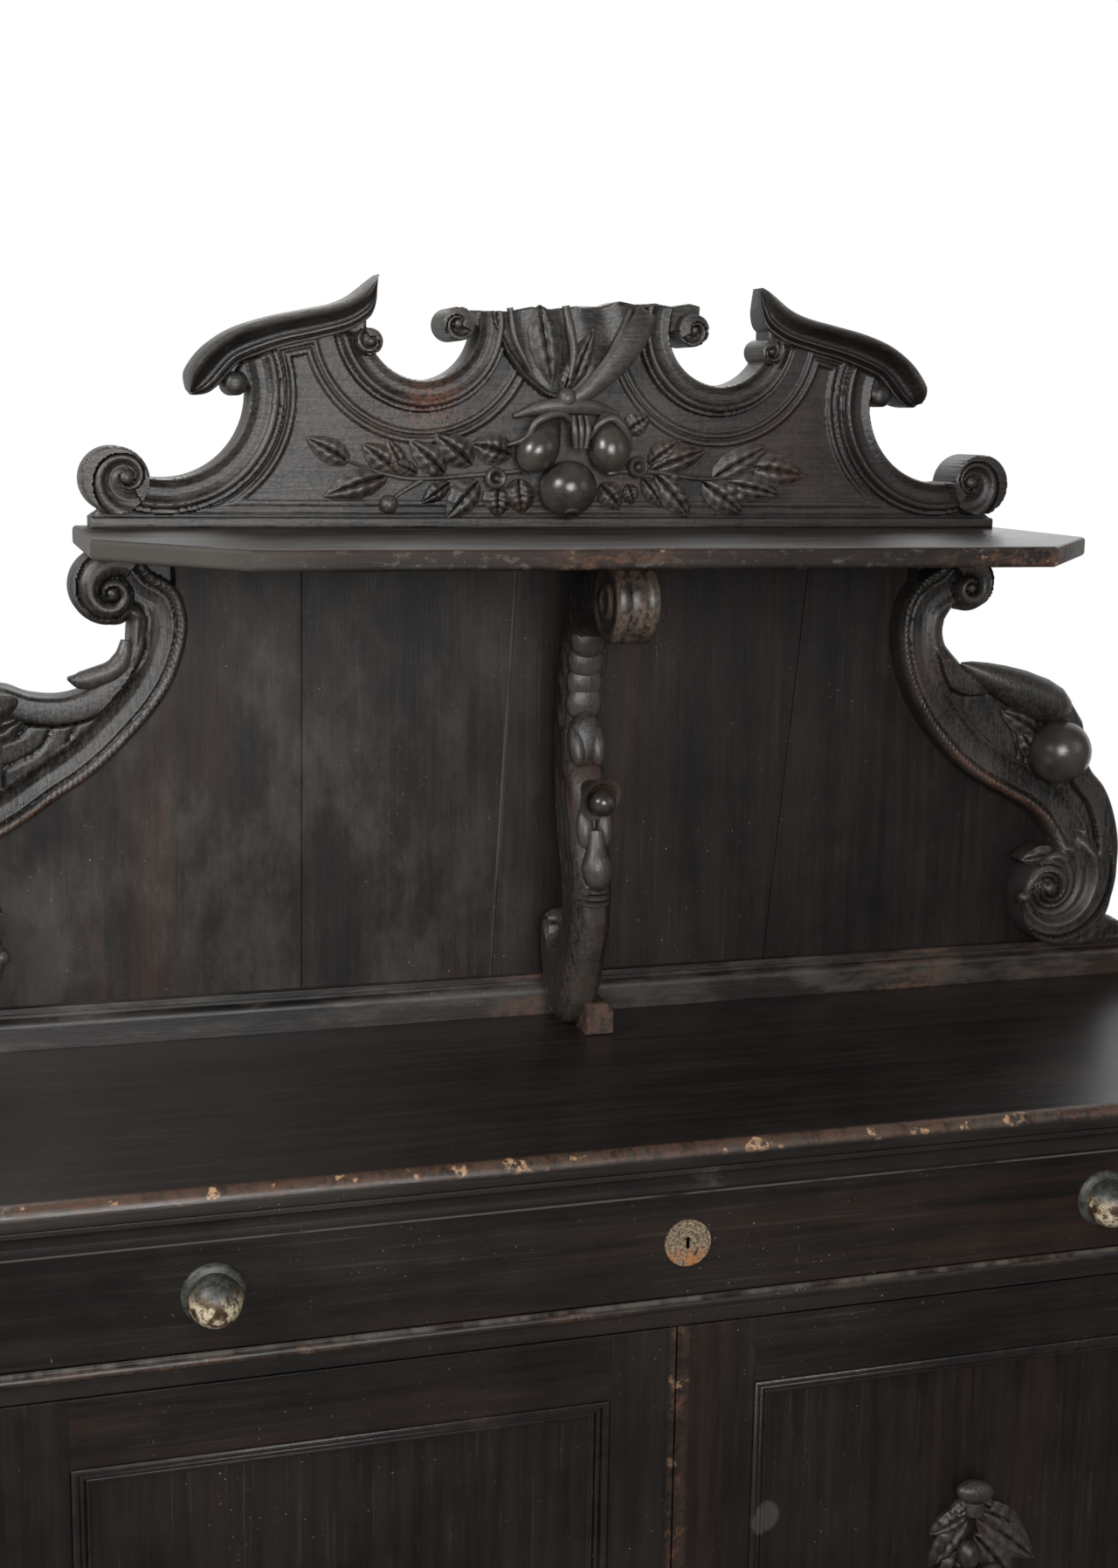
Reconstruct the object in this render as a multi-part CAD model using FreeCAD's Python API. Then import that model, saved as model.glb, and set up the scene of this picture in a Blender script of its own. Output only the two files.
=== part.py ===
# Carved, ebonised sideboard with a shelved superstructure, on a low stand with block feet.
# Millimetres. +Z is up and the front faces -Y. The origin is on the floor, under the middle of the whole.

import FreeCAD
import Part
import cmath
import math
import os

# Cabinet sizes
WORKTOP_LENGTH = 1700.0
WORKTOP_HEIGHT = 1000.0
WORKTOP_THICKNESS = 26.0
WORKTOP_OVERHANG = 38.0
WORKTOP_NOSING = 25.0
NOSING_RADIUS_TOP = 13.0
NOSING_RADIUS_UNDER = 8.0
CABINET_DEPTH = 524.0
POST_WIDTH = 110.0
POST_DEPTH = 45.0
REAR_POST_WIDTH = 45.0
BOTTOM_THICKNESS = 20.0
SIDE_THICKNESS = 22.0
SIDE_RAIL_HEIGHT = 80.0
SIDE_PANEL_THICKNESS = 10.0
SIDE_PANEL_INSET = 6.0
TENON_LENGTH = 20.0
TENON_THICKNESS = 10.0
TENON_SHOULDER = 5.0
GROOVE_DEPTH = 8.0
CABINET_BACK_THICKNESS = 12.0
CABINET_BACK_INSET = 10.0
CABINET_BACK_BOARDS = 3
BED_MOULDING_HEIGHT = 28.0
BED_MOULDING_PROJECTION = 20.0
DRAWER_OPENING = 119.0
DRAWER_RAIL_HEIGHT = 31.0
RAIL_BEAD_PROJECTION = 5.0
RUNNER_WIDTH = 60.0
RUNNER_THICKNESS = 18.0
GUIDE_HEIGHT = 30.0
GUIDE_PLAY = 1.5
CUPBOARD_SHELF_Z = 440.0
CUPBOARD_SHELF_THICKNESS = 18.0
CUPBOARD_SHELF_SETBACK = 70.0
CLEAT_SIZE = 24.0

# Stand sizes
FOOT_HEIGHT = 58.0
FOOT_WIDTH = 78.0
FOOT_TAPER = 12.0
STAND_RAIL_HEIGHT = 52.0
STAND_RAIL_THICKNESS = 24.0
STAND_PROJECTION = 12.0
STAND_COVE = 10.0
CORNER_BLOCK = 56.0
CORNER_BLOCK_HEIGHT = 40.0

# Gaps round what moves
GAP = 2.0
SLIDE_CLEARANCE = 0.4
PIN_CLEARANCE = 0.05

# Drawer sizes
DRAWER_FRONT_THICKNESS = 24.0
DRAWER_LENGTH = 476.0
DRAWER_SIDE_THICKNESS = 14.0
DRAWER_SIDE_DROP = 12.0
DRAWER_BOTTOM_THICKNESS = 8.0
DRAWER_BOTTOM_LIFT = 12.0
DOVETAILS = 3
DOVETAIL_DEPTH = 16.0
DOVETAIL_SLOPE = 4.0
KNOB_OFFSET = 487.0
KNOB_PROJECTION = 44.0
KNOB_BALL_RADIUS = 26.0
KNOB_FLANGE_RADIUS = 32.0
KNOB_FLANGE_HEIGHT = 7.0
KNOB_NECK_RADIUS = 24.0
PLATE_RADIUS = 25.0
PLATE_THICKNESS = 2.5
KEYHOLE_WIDTH = 4.4
KEYHOLE_HEIGHT = 13.0

# Door sizes
DOOR_THICKNESS = 26.0
MEETING_LINE = -8.5
HINGE_STILE = 74.0
DOOR_LOCK_DROP = 60.0
PANEL_START = 80.0
DOOR_RAIL = 72.0
DOOR_PANEL_THICKNESS = 8.0
DOOR_PANEL_SETBACK = 10.0
DOOR_TENON_LENGTH = 30.0
MOULDING_WIDTH = 21.0
MOULDING_PROUD = 1.5
DROP_HEIGHT = 220.0
DROP_RELIEF = 26.0

# Hinge, lock and bolt sizes
HINGE_LENGTH = 60.0
HINGE_LEAF_WIDTH = 22.0
HINGE_LEAF_THICKNESS = 2.0
HINGE_FROM_END = 100.0
KNUCKLE_RADIUS = 4.5
HINGE_PIN_RADIUS = 2.0
LOCK_CASE_LENGTH = 70.0
LOCK_CASE_HEIGHT = 58.0
LOCK_CASE_THICKNESS = 14.0
LOCK_CASE_SUNK = 10.0
LOCK_BOLT_WIDTH = 26.0
LOCK_BOLT_THICKNESS = 6.0
LOCK_BOLT_LENGTH = 40.0
LOCK_BOLT_THROW = 8.0
SLIDE_BOLT_WIDTH = 12.0
SLIDE_BOLT_THICKNESS = 6.0
SLIDE_BOLT_LENGTH = 92.0
SLIDE_BOLT_THROW = 10.0
SLIDE_BOLT_FROM_EDGE = 36.0
BOLT_PLATE_WIDTH = 28.0
BOLT_PLATE_THICKNESS = 2.0
BOLT_STAPLE_WALL = 3.0
BOLT_STAPLE_HEIGHT = 8.0

# Superstructure sizes
BACK_BOARD_THICKNESS = 20.0
BATTEN_THICKNESS = 20.0
BATTEN_WIDTH = 70.0
BATTEN_OFFSET = 330.0
BOARD_JOINTS = ((-315.0, -311.0), (-82.0, -51.0), (276.0, 326.0))
BOARD_GAP = 1.0
BASE_MOULDING_HEIGHT = 47.0
BASE_MOULDING_THICKNESS = 25.0
BASE_HALF_LENGTH = 820.0
GALLERY_HEIGHT = 595.0
GALLERY_THICKNESS = 22.0
GALLERY_HALF_LENGTH = 567.0
GALLERY_PROJECTION = 408.0
GALLERY_CUT_X = 136.0
GALLERY_CUT_Y = 172.0
GALLERY_EDGE_RADIUS = 5.0
WING_THICKNESS = 50.0
WING_SCROLL_RELIEF = 10.0
BRACKET_WIDTH = 50.0
BRACKET_VOLUTE_WIDTH = 50.0
BRACKET_VOLUTE_RADIUS = 46.0
BRACKET_REACH = 248.0
BRACKET_BLOCK_HEIGHT = 38.0

# Pediment sizes
PEDIMENT_THICKNESS = 36.0
PEDIMENT_HALF_LENGTH = 552.0
PEDIMENT_PLINTH_HEIGHT = 12.0
PEDIMENT_PLINTH_PROUD = 8.0
BAND_RELIEF = 16.0
VOLUTE_RELIEF = 24.0
BAY_RADIUS = 95.0
BAY_BAND = 33.0
UPPER_BAY_RADIUS = 65.0
UPPER_BAY_BAND = 33.0
CAP_DEPTH = 68.0
CAP_BEAD_DEPTH = 54.0

# Levels and faces that follow from the sizes
Y_FRONT = (KNOB_PROJECTION - CABINET_DEPTH) / 2
Y_BACK = Y_FRONT + CABINET_DEPTH
Z_BOTTOM = FOOT_HEIGHT + STAND_RAIL_HEIGHT
Z_FLOOR = Z_BOTTOM + BOTTOM_THICKNESS
Z_TOP = WORKTOP_HEIGHT
Z_UNDER_TOP = Z_TOP - WORKTOP_THICKNESS
Z_DRAWER_TOP = Z_UNDER_TOP - BED_MOULDING_HEIGHT
Z_RAIL_TOP = Z_DRAWER_TOP - DRAWER_OPENING
Z_RAIL_UNDER = Z_RAIL_TOP - DRAWER_RAIL_HEIGHT
X_OUT = WORKTOP_LENGTH / 2 - WORKTOP_OVERHANG
X_IN = X_OUT - POST_WIDTH
X_SIDE_IN = X_OUT - SIDE_THICKNESS
X_REAR_IN = X_OUT - REAR_POST_WIDTH
X_PANEL_IN = X_OUT - SIDE_PANEL_INSET - SIDE_PANEL_THICKNESS
Y_POST = Y_FRONT + POST_DEPTH
Y_REAR_POST = Y_BACK - POST_DEPTH
Y_BOARD_BACK = Y_BACK - BATTEN_THICKNESS
Y_BOARD = Y_BOARD_BACK - BACK_BOARD_THICKNESS
Z_GALLERY = Z_TOP + GALLERY_HEIGHT
Z_GALLERY_UNDER = Z_GALLERY - GALLERY_THICKNESS
Y_PEDIMENT = Y_BOARD - PEDIMENT_THICKNESS
HINGE_X = X_IN - GAP / 2
HINGE_Y = Y_FRONT - KNUCKLE_RADIUS - SLIDE_CLEARANCE

nodes = {}


def vec(x, y, z):
    return FreeCAD.Vector(x, y, z)


def block(x0, x1, y0, y1, z0, z1):
    """Rectangular piece between three pairs of planes."""
    return Part.makeBox(x1 - x0, y1 - y0, z1 - z0, vec(x0, y0, z0))


def mirrored(shape):
    """Mirror image across the middle plane."""
    return shape.mirror(vec(0, 0, 0), vec(1, 0, 0))


def keep(name, *pieces):
    """Stores one node: a single solid, or a group of separate solids."""
    solids = [solid for piece in pieces for solid in piece.Solids]
    nodes[name] = solids[0] if len(solids) == 1 else Part.makeCompound(solids)


def in_xz(y):
    return lambda x, z: vec(x, y, z)


def in_yz(x):
    return lambda y, z: vec(x, y, z)


def in_xy(z):
    return lambda x, y: vec(x, y, z)


def half_span(start, end, lean):
    """One arc from start to end that leaves its chord at the angle lean, as a step of face_of."""
    finish = (end.real, end.imag)
    if abs(lean) < 0.01:
        return finish
    bow = (start + end) / 2 + 1j * (end - start) / 2 * math.tan(lean / 2)
    return ((bow.real, bow.imag), finish)


def arcs_through(points):
    """Smooth line through points, as tangent arcs with two to each span."""
    spots = [complex(*point) for point in points]
    heads = []
    for before, here, after in zip(spots, spots[1:], spots[2:]):
        back = here - before
        on = after - here
        head = back * abs(on) / abs(back) + on * abs(back) / abs(on)
        heads.append(head / abs(head))
    first = spots[1] - spots[0]
    last = spots[-1] - spots[-2]
    heads.insert(0, first / first.conjugate() * heads[0].conjugate())
    heads.append(last / last.conjugate() * heads[-1].conjugate())
    steps = []
    for start, end, leave, arrive in zip(spots, spots[1:], heads, heads[1:]):
        span = end - start
        along = ((leave + arrive).conjugate() * span).real
        turn = 2 * (1 - (leave.conjugate() * arrive).real)
        if turn < 1e-9:
            reach = abs(span) ** 2 / (2 * along)
        else:
            reach = (math.sqrt(along**2 + turn * abs(span) ** 2) - along) / turn
        joint = (start + end + reach * (leave - arrive)) / 2
        steps.append(half_span(start, joint, cmath.phase(leave / (joint - start))))
        steps.append(half_span(joint, end, cmath.phase((end - joint) / arrive)))
    return steps


def face_of(start, steps, plane):
    """Closed face. A step is a point (straight), a pair of points (arc: via, end) or a list (smooth line)."""
    edges = []
    here = start
    plain = []
    for step in steps:
        plain += arcs_through([here] + step) if isinstance(step, list) else [step]
        here = plain[-1][1] if isinstance(plain[-1][0], tuple) else plain[-1]
    here = start
    for step in plain:
        if isinstance(step[0], tuple):
            via, end = step
            edges.append(Part.Arc(plane(*here), plane(*via), plane(*end)).toShape())
            here = end
        else:
            edges.append(Part.LineSegment(plane(*here), plane(*step)).toShape())
            here = step
    if math.dist(here, start) > 1e-6:
        edges.append(Part.LineSegment(plane(*here), plane(*start)).toShape())
    return Part.Face(Part.Wire(edges))


def disc_y(x, z, radius, y0, y1):
    """Round piece with its axis along Y."""
    return Part.makeCylinder(radius, y1 - y0, vec(x, y0, z), vec(0, 1, 0))


def moulding(start, steps, length, mitre_start, mitre_end):
    """Straight moulding along +X, from points (inset, height). A mitred end shortens with the inset."""
    solid = face_of(start, steps, in_yz(0.0)).extrude(vec(length, 0, 0))
    limits = solid.BoundBox
    depth = limits.YMax
    corners = [(0, 0), (length, 0)]
    corners.append((length - (depth if mitre_end else 0.0), depth))
    corners.append((depth if mitre_start else 0.0, depth))
    plan = face_of(corners[0], corners[1:], in_xy(limits.ZMin))
    return solid.common(plan.extrude(vec(0, 0, limits.ZLength)))


def laid(shape, origin, along, inset, up):
    """Moves a moulding from its own X, Y and Z to three given directions at an origin."""
    moved = shape.copy()
    moved.Placement = FreeCAD.Placement(
        FreeCAD.Matrix(
            along.x, inset.x, up.x, origin.x,
            along.y, inset.y, up.y, origin.y,
            along.z, inset.z, up.z, origin.z,
            0, 0, 0, 1,
        )
    )
    return moved


RIGHT = vec(1, 0, 0)
LEFT = vec(-1, 0, 0)
REAR = vec(0, 1, 0)
FRONT = vec(0, -1, 0)
UP = vec(0, 0, 1)
DOWN = vec(0, 0, -1)


def three_sided(start, steps, x_out, y_out, y_rear, z):
    """Moulding round the front and both ends of the cabinet, mitred at the front corners."""
    side = y_rear - y_out
    front = laid(moulding(start, steps, 2 * x_out, True, True), vec(-x_out, y_out, z), RIGHT, REAR, UP)
    right = laid(moulding(start, steps, side, True, False), vec(x_out, y_out, z), REAR, LEFT, UP)
    left = laid(moulding(start, steps, side, False, True), vec(-x_out, y_rear, z), FRONT, RIGHT, UP)
    return [front, left, right]


EGG = ((-0.78, 0.55), (-0.4, 0.92), (0.1, 1.0), (0.6, 0.72))
LEAF = ((-0.45, 0.8), (0.1, 1.0), (0.55, 0.6))
CUTS_ROUND = 6


def relief(x, z, direction, half_length, radius, y_face, form):
    """Fruit or leaf in half relief on a forward face: half-round sections joined by flat cuts."""
    turns = [math.pi * i / CUTS_ROUND for i in range(CUTS_ROUND + 1)]
    tail = vec(-half_length, 0, 0)
    tip = vec(half_length, 0, 0)
    rims = []
    for along, share in form:
        reach = radius * share
        rims.append([vec(half_length * along, -reach * math.sin(a), reach * math.cos(a)) for a in turns])
    polygons = [[tail] + [rim[0] for rim in rims] + [tip] + [rim[-1] for rim in reversed(rims)]]
    for i in range(CUTS_ROUND):
        polygons.append([tail, rims[0][i], rims[0][i + 1]])
        polygons.append([tip, rims[-1][i + 1], rims[-1][i]])
        for near, far in zip(rims, rims[1:]):
            polygons.append([near[i], far[i], far[i + 1], near[i + 1]])
    body = Part.Solid(Part.Shell([Part.Face(Part.makePolygon(points + points[:1])) for points in polygons]))
    if body.Volume < 0:
        body.reverse()
    body.rotate(vec(0, 0, 0), FRONT, math.degrees(math.atan2(direction[1], direction[0])))
    return body.translated(vec(x, y_face, z))


def spiral_fillet(x, z, radius, width, y0, y1, hand):
    """Raised line of a volute: half circles that shrink towards the eye, each from the last one's end."""
    plane = in_xz(y1)
    outer = []
    inner = []
    centre = 0.0
    reach = radius
    way = 1.0
    for shrink in (0.72, 0.62):
        for line, r in ((outer, reach), (inner, reach - width)):
            ends = [(centre + way * r, 0.0), (centre, way * r), (centre - way * r, 0.0)]
            line.append([(x + hand * u, z + w) for u, w in ends])
        tail = centre - way * reach
        reach *= shrink
        way = -way
        centre = tail - way * reach
    steps = [(via, end) for _, via, end in outer]
    steps.append(inner[-1][2])
    steps += [(via, begin) for begin, via, _ in reversed(inner)]
    return face_of(outer[0][0], steps, plane).extrude(vec(0, y0 - y1, 0))


def volute(x, z, radius, y_back, y_face, hand):
    """Scroll end: a disc with a raised spiral and a round eye, on a face that looks forward."""
    rise = radius * 0.16
    body = disc_y(x, z, radius, y_face + rise, y_back)
    line = spiral_fillet(x, z, radius * 0.92, radius * 0.18, y_face, y_face + 2 * rise, hand)
    eye = disc_y(x, z, radius * 0.2, y_face, y_face + 2 * rise)
    return body.fuse(line).fuse(eye).removeSplitter()


def ring(x, z, profile, y_face, angle_from, angle_to):
    """C-scroll band: a profile of (radius, height) points turned about the bay's centre."""
    start, steps = profile
    face = face_of(start, steps, lambda r, h: vec(x + r, y_face - h, z))
    solid = face.revolve(vec(x, 0, z), FRONT, angle_to - angle_from)
    solid.rotate(vec(x, 0, z), FRONT, angle_from)
    return solid


def band_profile(radius, width, relief_height):
    """Hollow band with a thin lip at the bay and a ridge along its far edge."""
    edge = radius + width
    hollow = radius + width * 0.4
    ridge = radius + width * 0.82
    steps = [
        (radius, relief_height * 0.75),
        (hollow, relief_height * 0.3),
        (ridge, relief_height),
        (edge, relief_height * 0.4),
        (edge, 0.0),
    ]
    return (radius, 0.0), steps


# Stand: moulded plinth rails, mitred at the front, with a glue block over each foot
def build_stand():
    x_out = X_OUT + STAND_PROJECTION
    y_out = Y_FRONT - STAND_PROJECTION
    inner = STAND_RAIL_THICKNESS
    bend = STAND_COVE * math.sqrt(0.5)
    top = STAND_RAIL_HEIGHT
    lip = top - STAND_COVE * 0.6
    steps = [
        (0.0, lip - STAND_COVE),
        ((bend, lip - bend), (STAND_COVE, lip)),
        (STAND_COVE, top),
        (inner, top),
        (inner, 0.0),
    ]
    rails = three_sided((0.0, 0.0), steps, x_out, y_out, Y_BACK, FOOT_HEIGHT)
    rails.append(block(inner - x_out, x_out - inner, Y_BACK - inner, Y_BACK, FOOT_HEIGHT, Z_BOTTOM))
    keep("stand_rails", *rails)

    foot_x = x_out - inner - CORNER_BLOCK / 2
    wide = FOOT_WIDTH / 2
    slim = wide - FOOT_TAPER
    foot = Part.makeWedge(-slim, 0, -slim, -wide, -wide, slim, FOOT_HEIGHT, slim, wide, wide)
    foot.rotate(vec(0, 0, 0), RIGHT, 90)
    feet = []
    blocks = []
    half = CORNER_BLOCK / 2
    block_top = FOOT_HEIGHT + CORNER_BLOCK_HEIGHT
    for y in (y_out + inner + half, Y_BACK - inner - half):
        for x in (-foot_x, foot_x):
            feet.append(foot.translated(vec(x, y, 0)))
            blocks.append(block(x - half, x + half, y - half, y + half, FOOT_HEIGHT, block_top))
    keep("block_feet", *feet)
    keep("stand_corner_blocks", *blocks)


# Carcass: posts, rails and panels, tenoned and grooved into each other
def tenoned_rail(x0, x1, y0, y1, z0, z1):
    """Rail along X with a tenon at both ends."""
    body = block(x0, x1, y0, y1, z0, z1)
    middle = (y0 + y1) / 2
    tenon = block(
        x0 - TENON_LENGTH,
        x1 + TENON_LENGTH,
        middle - TENON_THICKNESS / 2,
        middle + TENON_THICKNESS / 2,
        z0 + TENON_SHOULDER,
        z1 - TENON_SHOULDER,
    )
    return body.fuse(tenon).removeSplitter()


def right_side_rail(z0, z1):
    """Rail along Y between the right front and rear posts."""
    body = block(X_SIDE_IN, X_OUT, Y_POST, Y_REAR_POST, z0, z1)
    middle = (X_SIDE_IN + X_OUT) / 2
    tenon = block(
        middle - TENON_THICKNESS / 2,
        middle + TENON_THICKNESS / 2,
        Y_POST - TENON_LENGTH,
        Y_REAR_POST + TENON_LENGTH,
        z0 + TENON_SHOULDER,
        z1 - TENON_SHOULDER,
    )
    return body.fuse(tenon).removeSplitter()


def build_carcass(fixed_leaves):
    keep("bottom_board", block(-X_OUT, X_OUT, Y_FRONT, Y_BACK, Z_BOTTOM, Z_FLOOR))

    bead = face_of(
        (Y_POST, Z_RAIL_UNDER),
        [
            (Y_FRONT, Z_RAIL_UNDER),
            (Y_FRONT, Z_RAIL_UNDER + DRAWER_RAIL_HEIGHT * 0.55),
            (
                (Y_FRONT - RAIL_BEAD_PROJECTION, Z_RAIL_UNDER + DRAWER_RAIL_HEIGHT * 0.72),
                (Y_FRONT, Z_RAIL_UNDER + DRAWER_RAIL_HEIGHT * 0.89),
            ),
            (Y_FRONT, Z_RAIL_TOP),
            (Y_POST, Z_RAIL_TOP),
        ],
        in_yz(-X_IN),
    ).extrude(vec(2 * X_IN, 0, 0))
    drawer_rail = tenoned_rail(-X_IN, X_IN, Y_FRONT, Y_POST, Z_RAIL_UNDER, Z_RAIL_TOP).fuse(bead)
    socket = slide_bolt_space(GAP / 2).translated(vec(0, 0, SLIDE_BOLT_THROW))
    drawer_rail = drawer_rail.cut(socket).removeSplitter()
    keep("drawer_rail", drawer_rail)

    top_rail = tenoned_rail(-X_IN, X_IN, Y_FRONT, Y_POST, Z_DRAWER_TOP, Z_UNDER_TOP)
    keeper = lock_bolt_space(GAP / 2).translated(vec(0, 0, LOCK_BOLT_THROW))
    top_rail = top_rail.cut(keeper)
    y_inner_back = Y_BACK - CABINET_BACK_INSET - CABINET_BACK_THICKNESS
    y_rear_rail = y_inner_back - POST_DEPTH
    rear_rail = block(-X_REAR_IN, X_REAR_IN, y_rear_rail, y_inner_back, Z_DRAWER_TOP, Z_UNDER_TOP)
    keep("top_rails", top_rail, rear_rail)

    side_rails = [
        right_side_rail(Z_FLOOR, Z_FLOOR + SIDE_RAIL_HEIGHT),
        right_side_rail(Z_UNDER_TOP - SIDE_RAIL_HEIGHT, Z_UNDER_TOP),
    ]
    panel = block(
        X_PANEL_IN,
        X_PANEL_IN + SIDE_PANEL_THICKNESS,
        Y_POST - GROOVE_DEPTH,
        Y_REAR_POST + GROOVE_DEPTH,
        Z_FLOOR + SIDE_RAIL_HEIGHT - GROOVE_DEPTH,
        Z_UNDER_TOP - SIDE_RAIL_HEIGHT + GROOVE_DEPTH,
    )
    side_rails = [rail.cut(panel) for rail in side_rails]
    keep("side_panels", mirrored(panel), panel)

    back_half = X_REAR_IN + CABINET_BACK_INSET
    width = 2 * back_half / CABINET_BACK_BOARDS
    boards = [
        block(
            i * width - back_half + BOARD_GAP / 2,
            (i + 1) * width - back_half - BOARD_GAP / 2,
            y_inner_back,
            y_inner_back + CABINET_BACK_THICKNESS,
            Z_FLOOR,
            Z_UNDER_TOP,
        )
        for i in range(CABINET_BACK_BOARDS)
    ]
    keep("cabinet_back_boards", *boards)

    front_post = block(X_IN, X_OUT, Y_FRONT, Y_POST, Z_FLOOR, Z_UNDER_TOP)
    for neighbour in [drawer_rail, top_rail, panel] + side_rails + fixed_leaves:
        front_post = front_post.cut(neighbour)
    keep("front_posts", mirrored(front_post), front_post)

    rear_post = block(X_REAR_IN, X_OUT, Y_REAR_POST, Y_BACK, Z_FLOOR, Z_UNDER_TOP)
    for neighbour in [panel, boards[-1]] + side_rails:
        rear_post = rear_post.cut(neighbour)
    keep("rear_posts", mirrored(rear_post), rear_post)
    keep("side_rails", *[piece for rail in side_rails for piece in (mirrored(rail), rail)])

    guide_x = X_IN - GAP + GUIDE_PLAY
    runner_x = X_IN - RUNNER_WIDTH
    runner = block(runner_x, X_SIDE_IN, Y_POST, Y_REAR_POST, Z_RAIL_TOP - RUNNER_THICKNESS, Z_RAIL_TOP)
    guide = block(guide_x, X_SIDE_IN, Y_POST, Y_REAR_POST, Z_RAIL_TOP, Z_RAIL_TOP + GUIDE_HEIGHT)
    keep("drawer_runners", mirrored(runner), mirrored(guide), runner, guide)

    shelf_half = X_PANEL_IN - GAP / 2
    keep(
        "cupboard_shelf",
        block(
            -shelf_half,
            shelf_half,
            Y_FRONT + CUPBOARD_SHELF_SETBACK,
            Y_REAR_POST - GAP,
            CUPBOARD_SHELF_Z,
            CUPBOARD_SHELF_Z + CUPBOARD_SHELF_THICKNESS,
        ),
    )
    cleat = block(
        X_PANEL_IN - CLEAT_SIZE,
        X_PANEL_IN,
        Y_POST,
        Y_REAR_POST,
        CUPBOARD_SHELF_Z - CLEAT_SIZE,
        CUPBOARD_SHELF_Z,
    )
    keep("shelf_cleats", mirrored(cleat), cleat)

    half = WORKTOP_LENGTH / 2
    slab = block(-half, half, Y_FRONT - WORKTOP_NOSING, Y_BACK, Z_UNDER_TOP, Z_TOP)
    rims = {NOSING_RADIUS_TOP: Z_TOP, NOSING_RADIUS_UNDER: Z_UNDER_TOP}
    for radius, level in rims.items():
        slab = slab.makeFillet(radius, rim_edges(slab, level, Y_BACK))
    keep("worktop", slab)

    drop = BED_MOULDING_HEIGHT
    out = BED_MOULDING_PROJECTION
    foot = out * 0.7
    steps = [
        (0.0, drop),
        (out, drop),
        (out, 0.0),
        (foot, 0.0),
        (foot, drop * 0.15),
        ((foot * 0.75, drop * 0.6), (0.0, drop * 0.8)),
    ]
    bed = three_sided((0.0, drop * 0.8), steps, X_OUT + out, Y_FRONT - out, Y_BACK, Z_DRAWER_TOP)
    keep("bed_moulding", *bed)


def rim_edges(slab, level, y_rear):
    """Edges of a slab's upper or lower face, leaving out the one along the back."""
    found = []
    for edge in slab.Edges:
        limits = edge.BoundBox
        flat = limits.ZLength < 1e-6 and abs(limits.ZMin - level) < 1e-6
        if flat and limits.YMin < y_rear - 1.0:
            found.append(edge)
    return found


# Butt hinges: leaves let into post and door edge, knuckles just in front of the face
def hinge_parts(z):
    """Right-hand lift-off hinge: the fixed leaf with its pin, and the door's leaf that drops over it."""
    half = HINGE_LENGTH / 2
    low = z - half
    fixed = block(X_IN, X_IN + HINGE_LEAF_THICKNESS, Y_FRONT, Y_FRONT + HINGE_LEAF_WIDTH, low, z + half)
    fixed = fixed.fuse(knuckle(X_IN, low, half))
    fixed = fixed.fuse(Part.makeCylinder(HINGE_PIN_RADIUS, HINGE_LENGTH, vec(HINGE_X, HINGE_Y, low)))
    x_leaf = X_IN - GAP - HINGE_LEAF_THICKNESS
    leaf = block(x_leaf, X_IN - GAP, Y_FRONT, Y_FRONT + HINGE_LEAF_WIDTH, low, z + half)
    leaf = leaf.fuse(knuckle(x_leaf, z + SLIDE_CLEARANCE, half - SLIDE_CLEARANCE))
    bore = Part.makeCylinder(HINGE_PIN_RADIUS + PIN_CLEARANCE, HINGE_LENGTH, vec(HINGE_X, HINGE_Y, low))
    return fixed.removeSplitter(), leaf.cut(bore).removeSplitter()


def knuckle(x_leaf, z, length):
    """Barrel on the hinge axis with the web that joins it to its leaf."""
    barrel = Part.makeCylinder(KNUCKLE_RADIUS, length, vec(HINGE_X, HINGE_Y, z))
    web = block(x_leaf, x_leaf + HINGE_LEAF_THICKNESS, HINGE_Y, Y_FRONT, z, z + length)
    return barrel.fuse(web)


# Locks and bolts
def drawer_top():
    return Z_DRAWER_TOP - GAP


def lock_bolt_space(play):
    """Drawer lock's bolt, drawn back, or the space round it."""
    y = Y_FRONT + DRAWER_FRONT_THICKNESS - LOCK_CASE_SUNK + (LOCK_CASE_THICKNESS - LOCK_BOLT_THICKNESS) / 2
    top = drawer_top() - SLIDE_CLEARANCE
    low = top - LOCK_BOLT_LENGTH
    half = LOCK_BOLT_WIDTH / 2 + play
    return block(-half, half, y - play, y + LOCK_BOLT_THICKNESS + play, low - play, top + play)


def door_lock_z():
    return (door_bottom() + door_top()) / 2 - DOOR_LOCK_DROP


def door_bottom():
    return Z_FLOOR + GAP


def door_top():
    return Z_RAIL_UNDER - GAP


def door_bolt_space(play):
    """Door lock's bolt, drawn back, or the space round it."""
    x = MEETING_LINE + GAP / 2 + SLIDE_CLEARANCE
    x_end = x + LOCK_BOLT_LENGTH
    y = Y_FRONT + DOOR_THICKNESS - LOCK_CASE_SUNK + (LOCK_CASE_THICKNESS - LOCK_BOLT_THICKNESS) / 2 - GAP
    y_end = y + LOCK_BOLT_THICKNESS
    z = door_lock_z()
    half = LOCK_BOLT_WIDTH / 2 + play
    return block(x - play, x_end + play, y - play, y_end + play, z - half, z + half)


def slide_bolt_space(play):
    """Flat slide bolt on the back of the left door, drawn down, or the space round it."""
    x = MEETING_LINE - GAP / 2 - SLIDE_BOLT_FROM_EDGE
    y = Y_FRONT + DOOR_THICKNESS + BOLT_PLATE_THICKNESS + SLIDE_CLEARANCE
    top = door_top() - GAP / 2
    half = SLIDE_BOLT_WIDTH / 2 + play
    low = top - SLIDE_BOLT_LENGTH - play
    return block(x - half, x + half, y - play, y + SLIDE_BOLT_THICKNESS + play, low, top + play)


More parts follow.
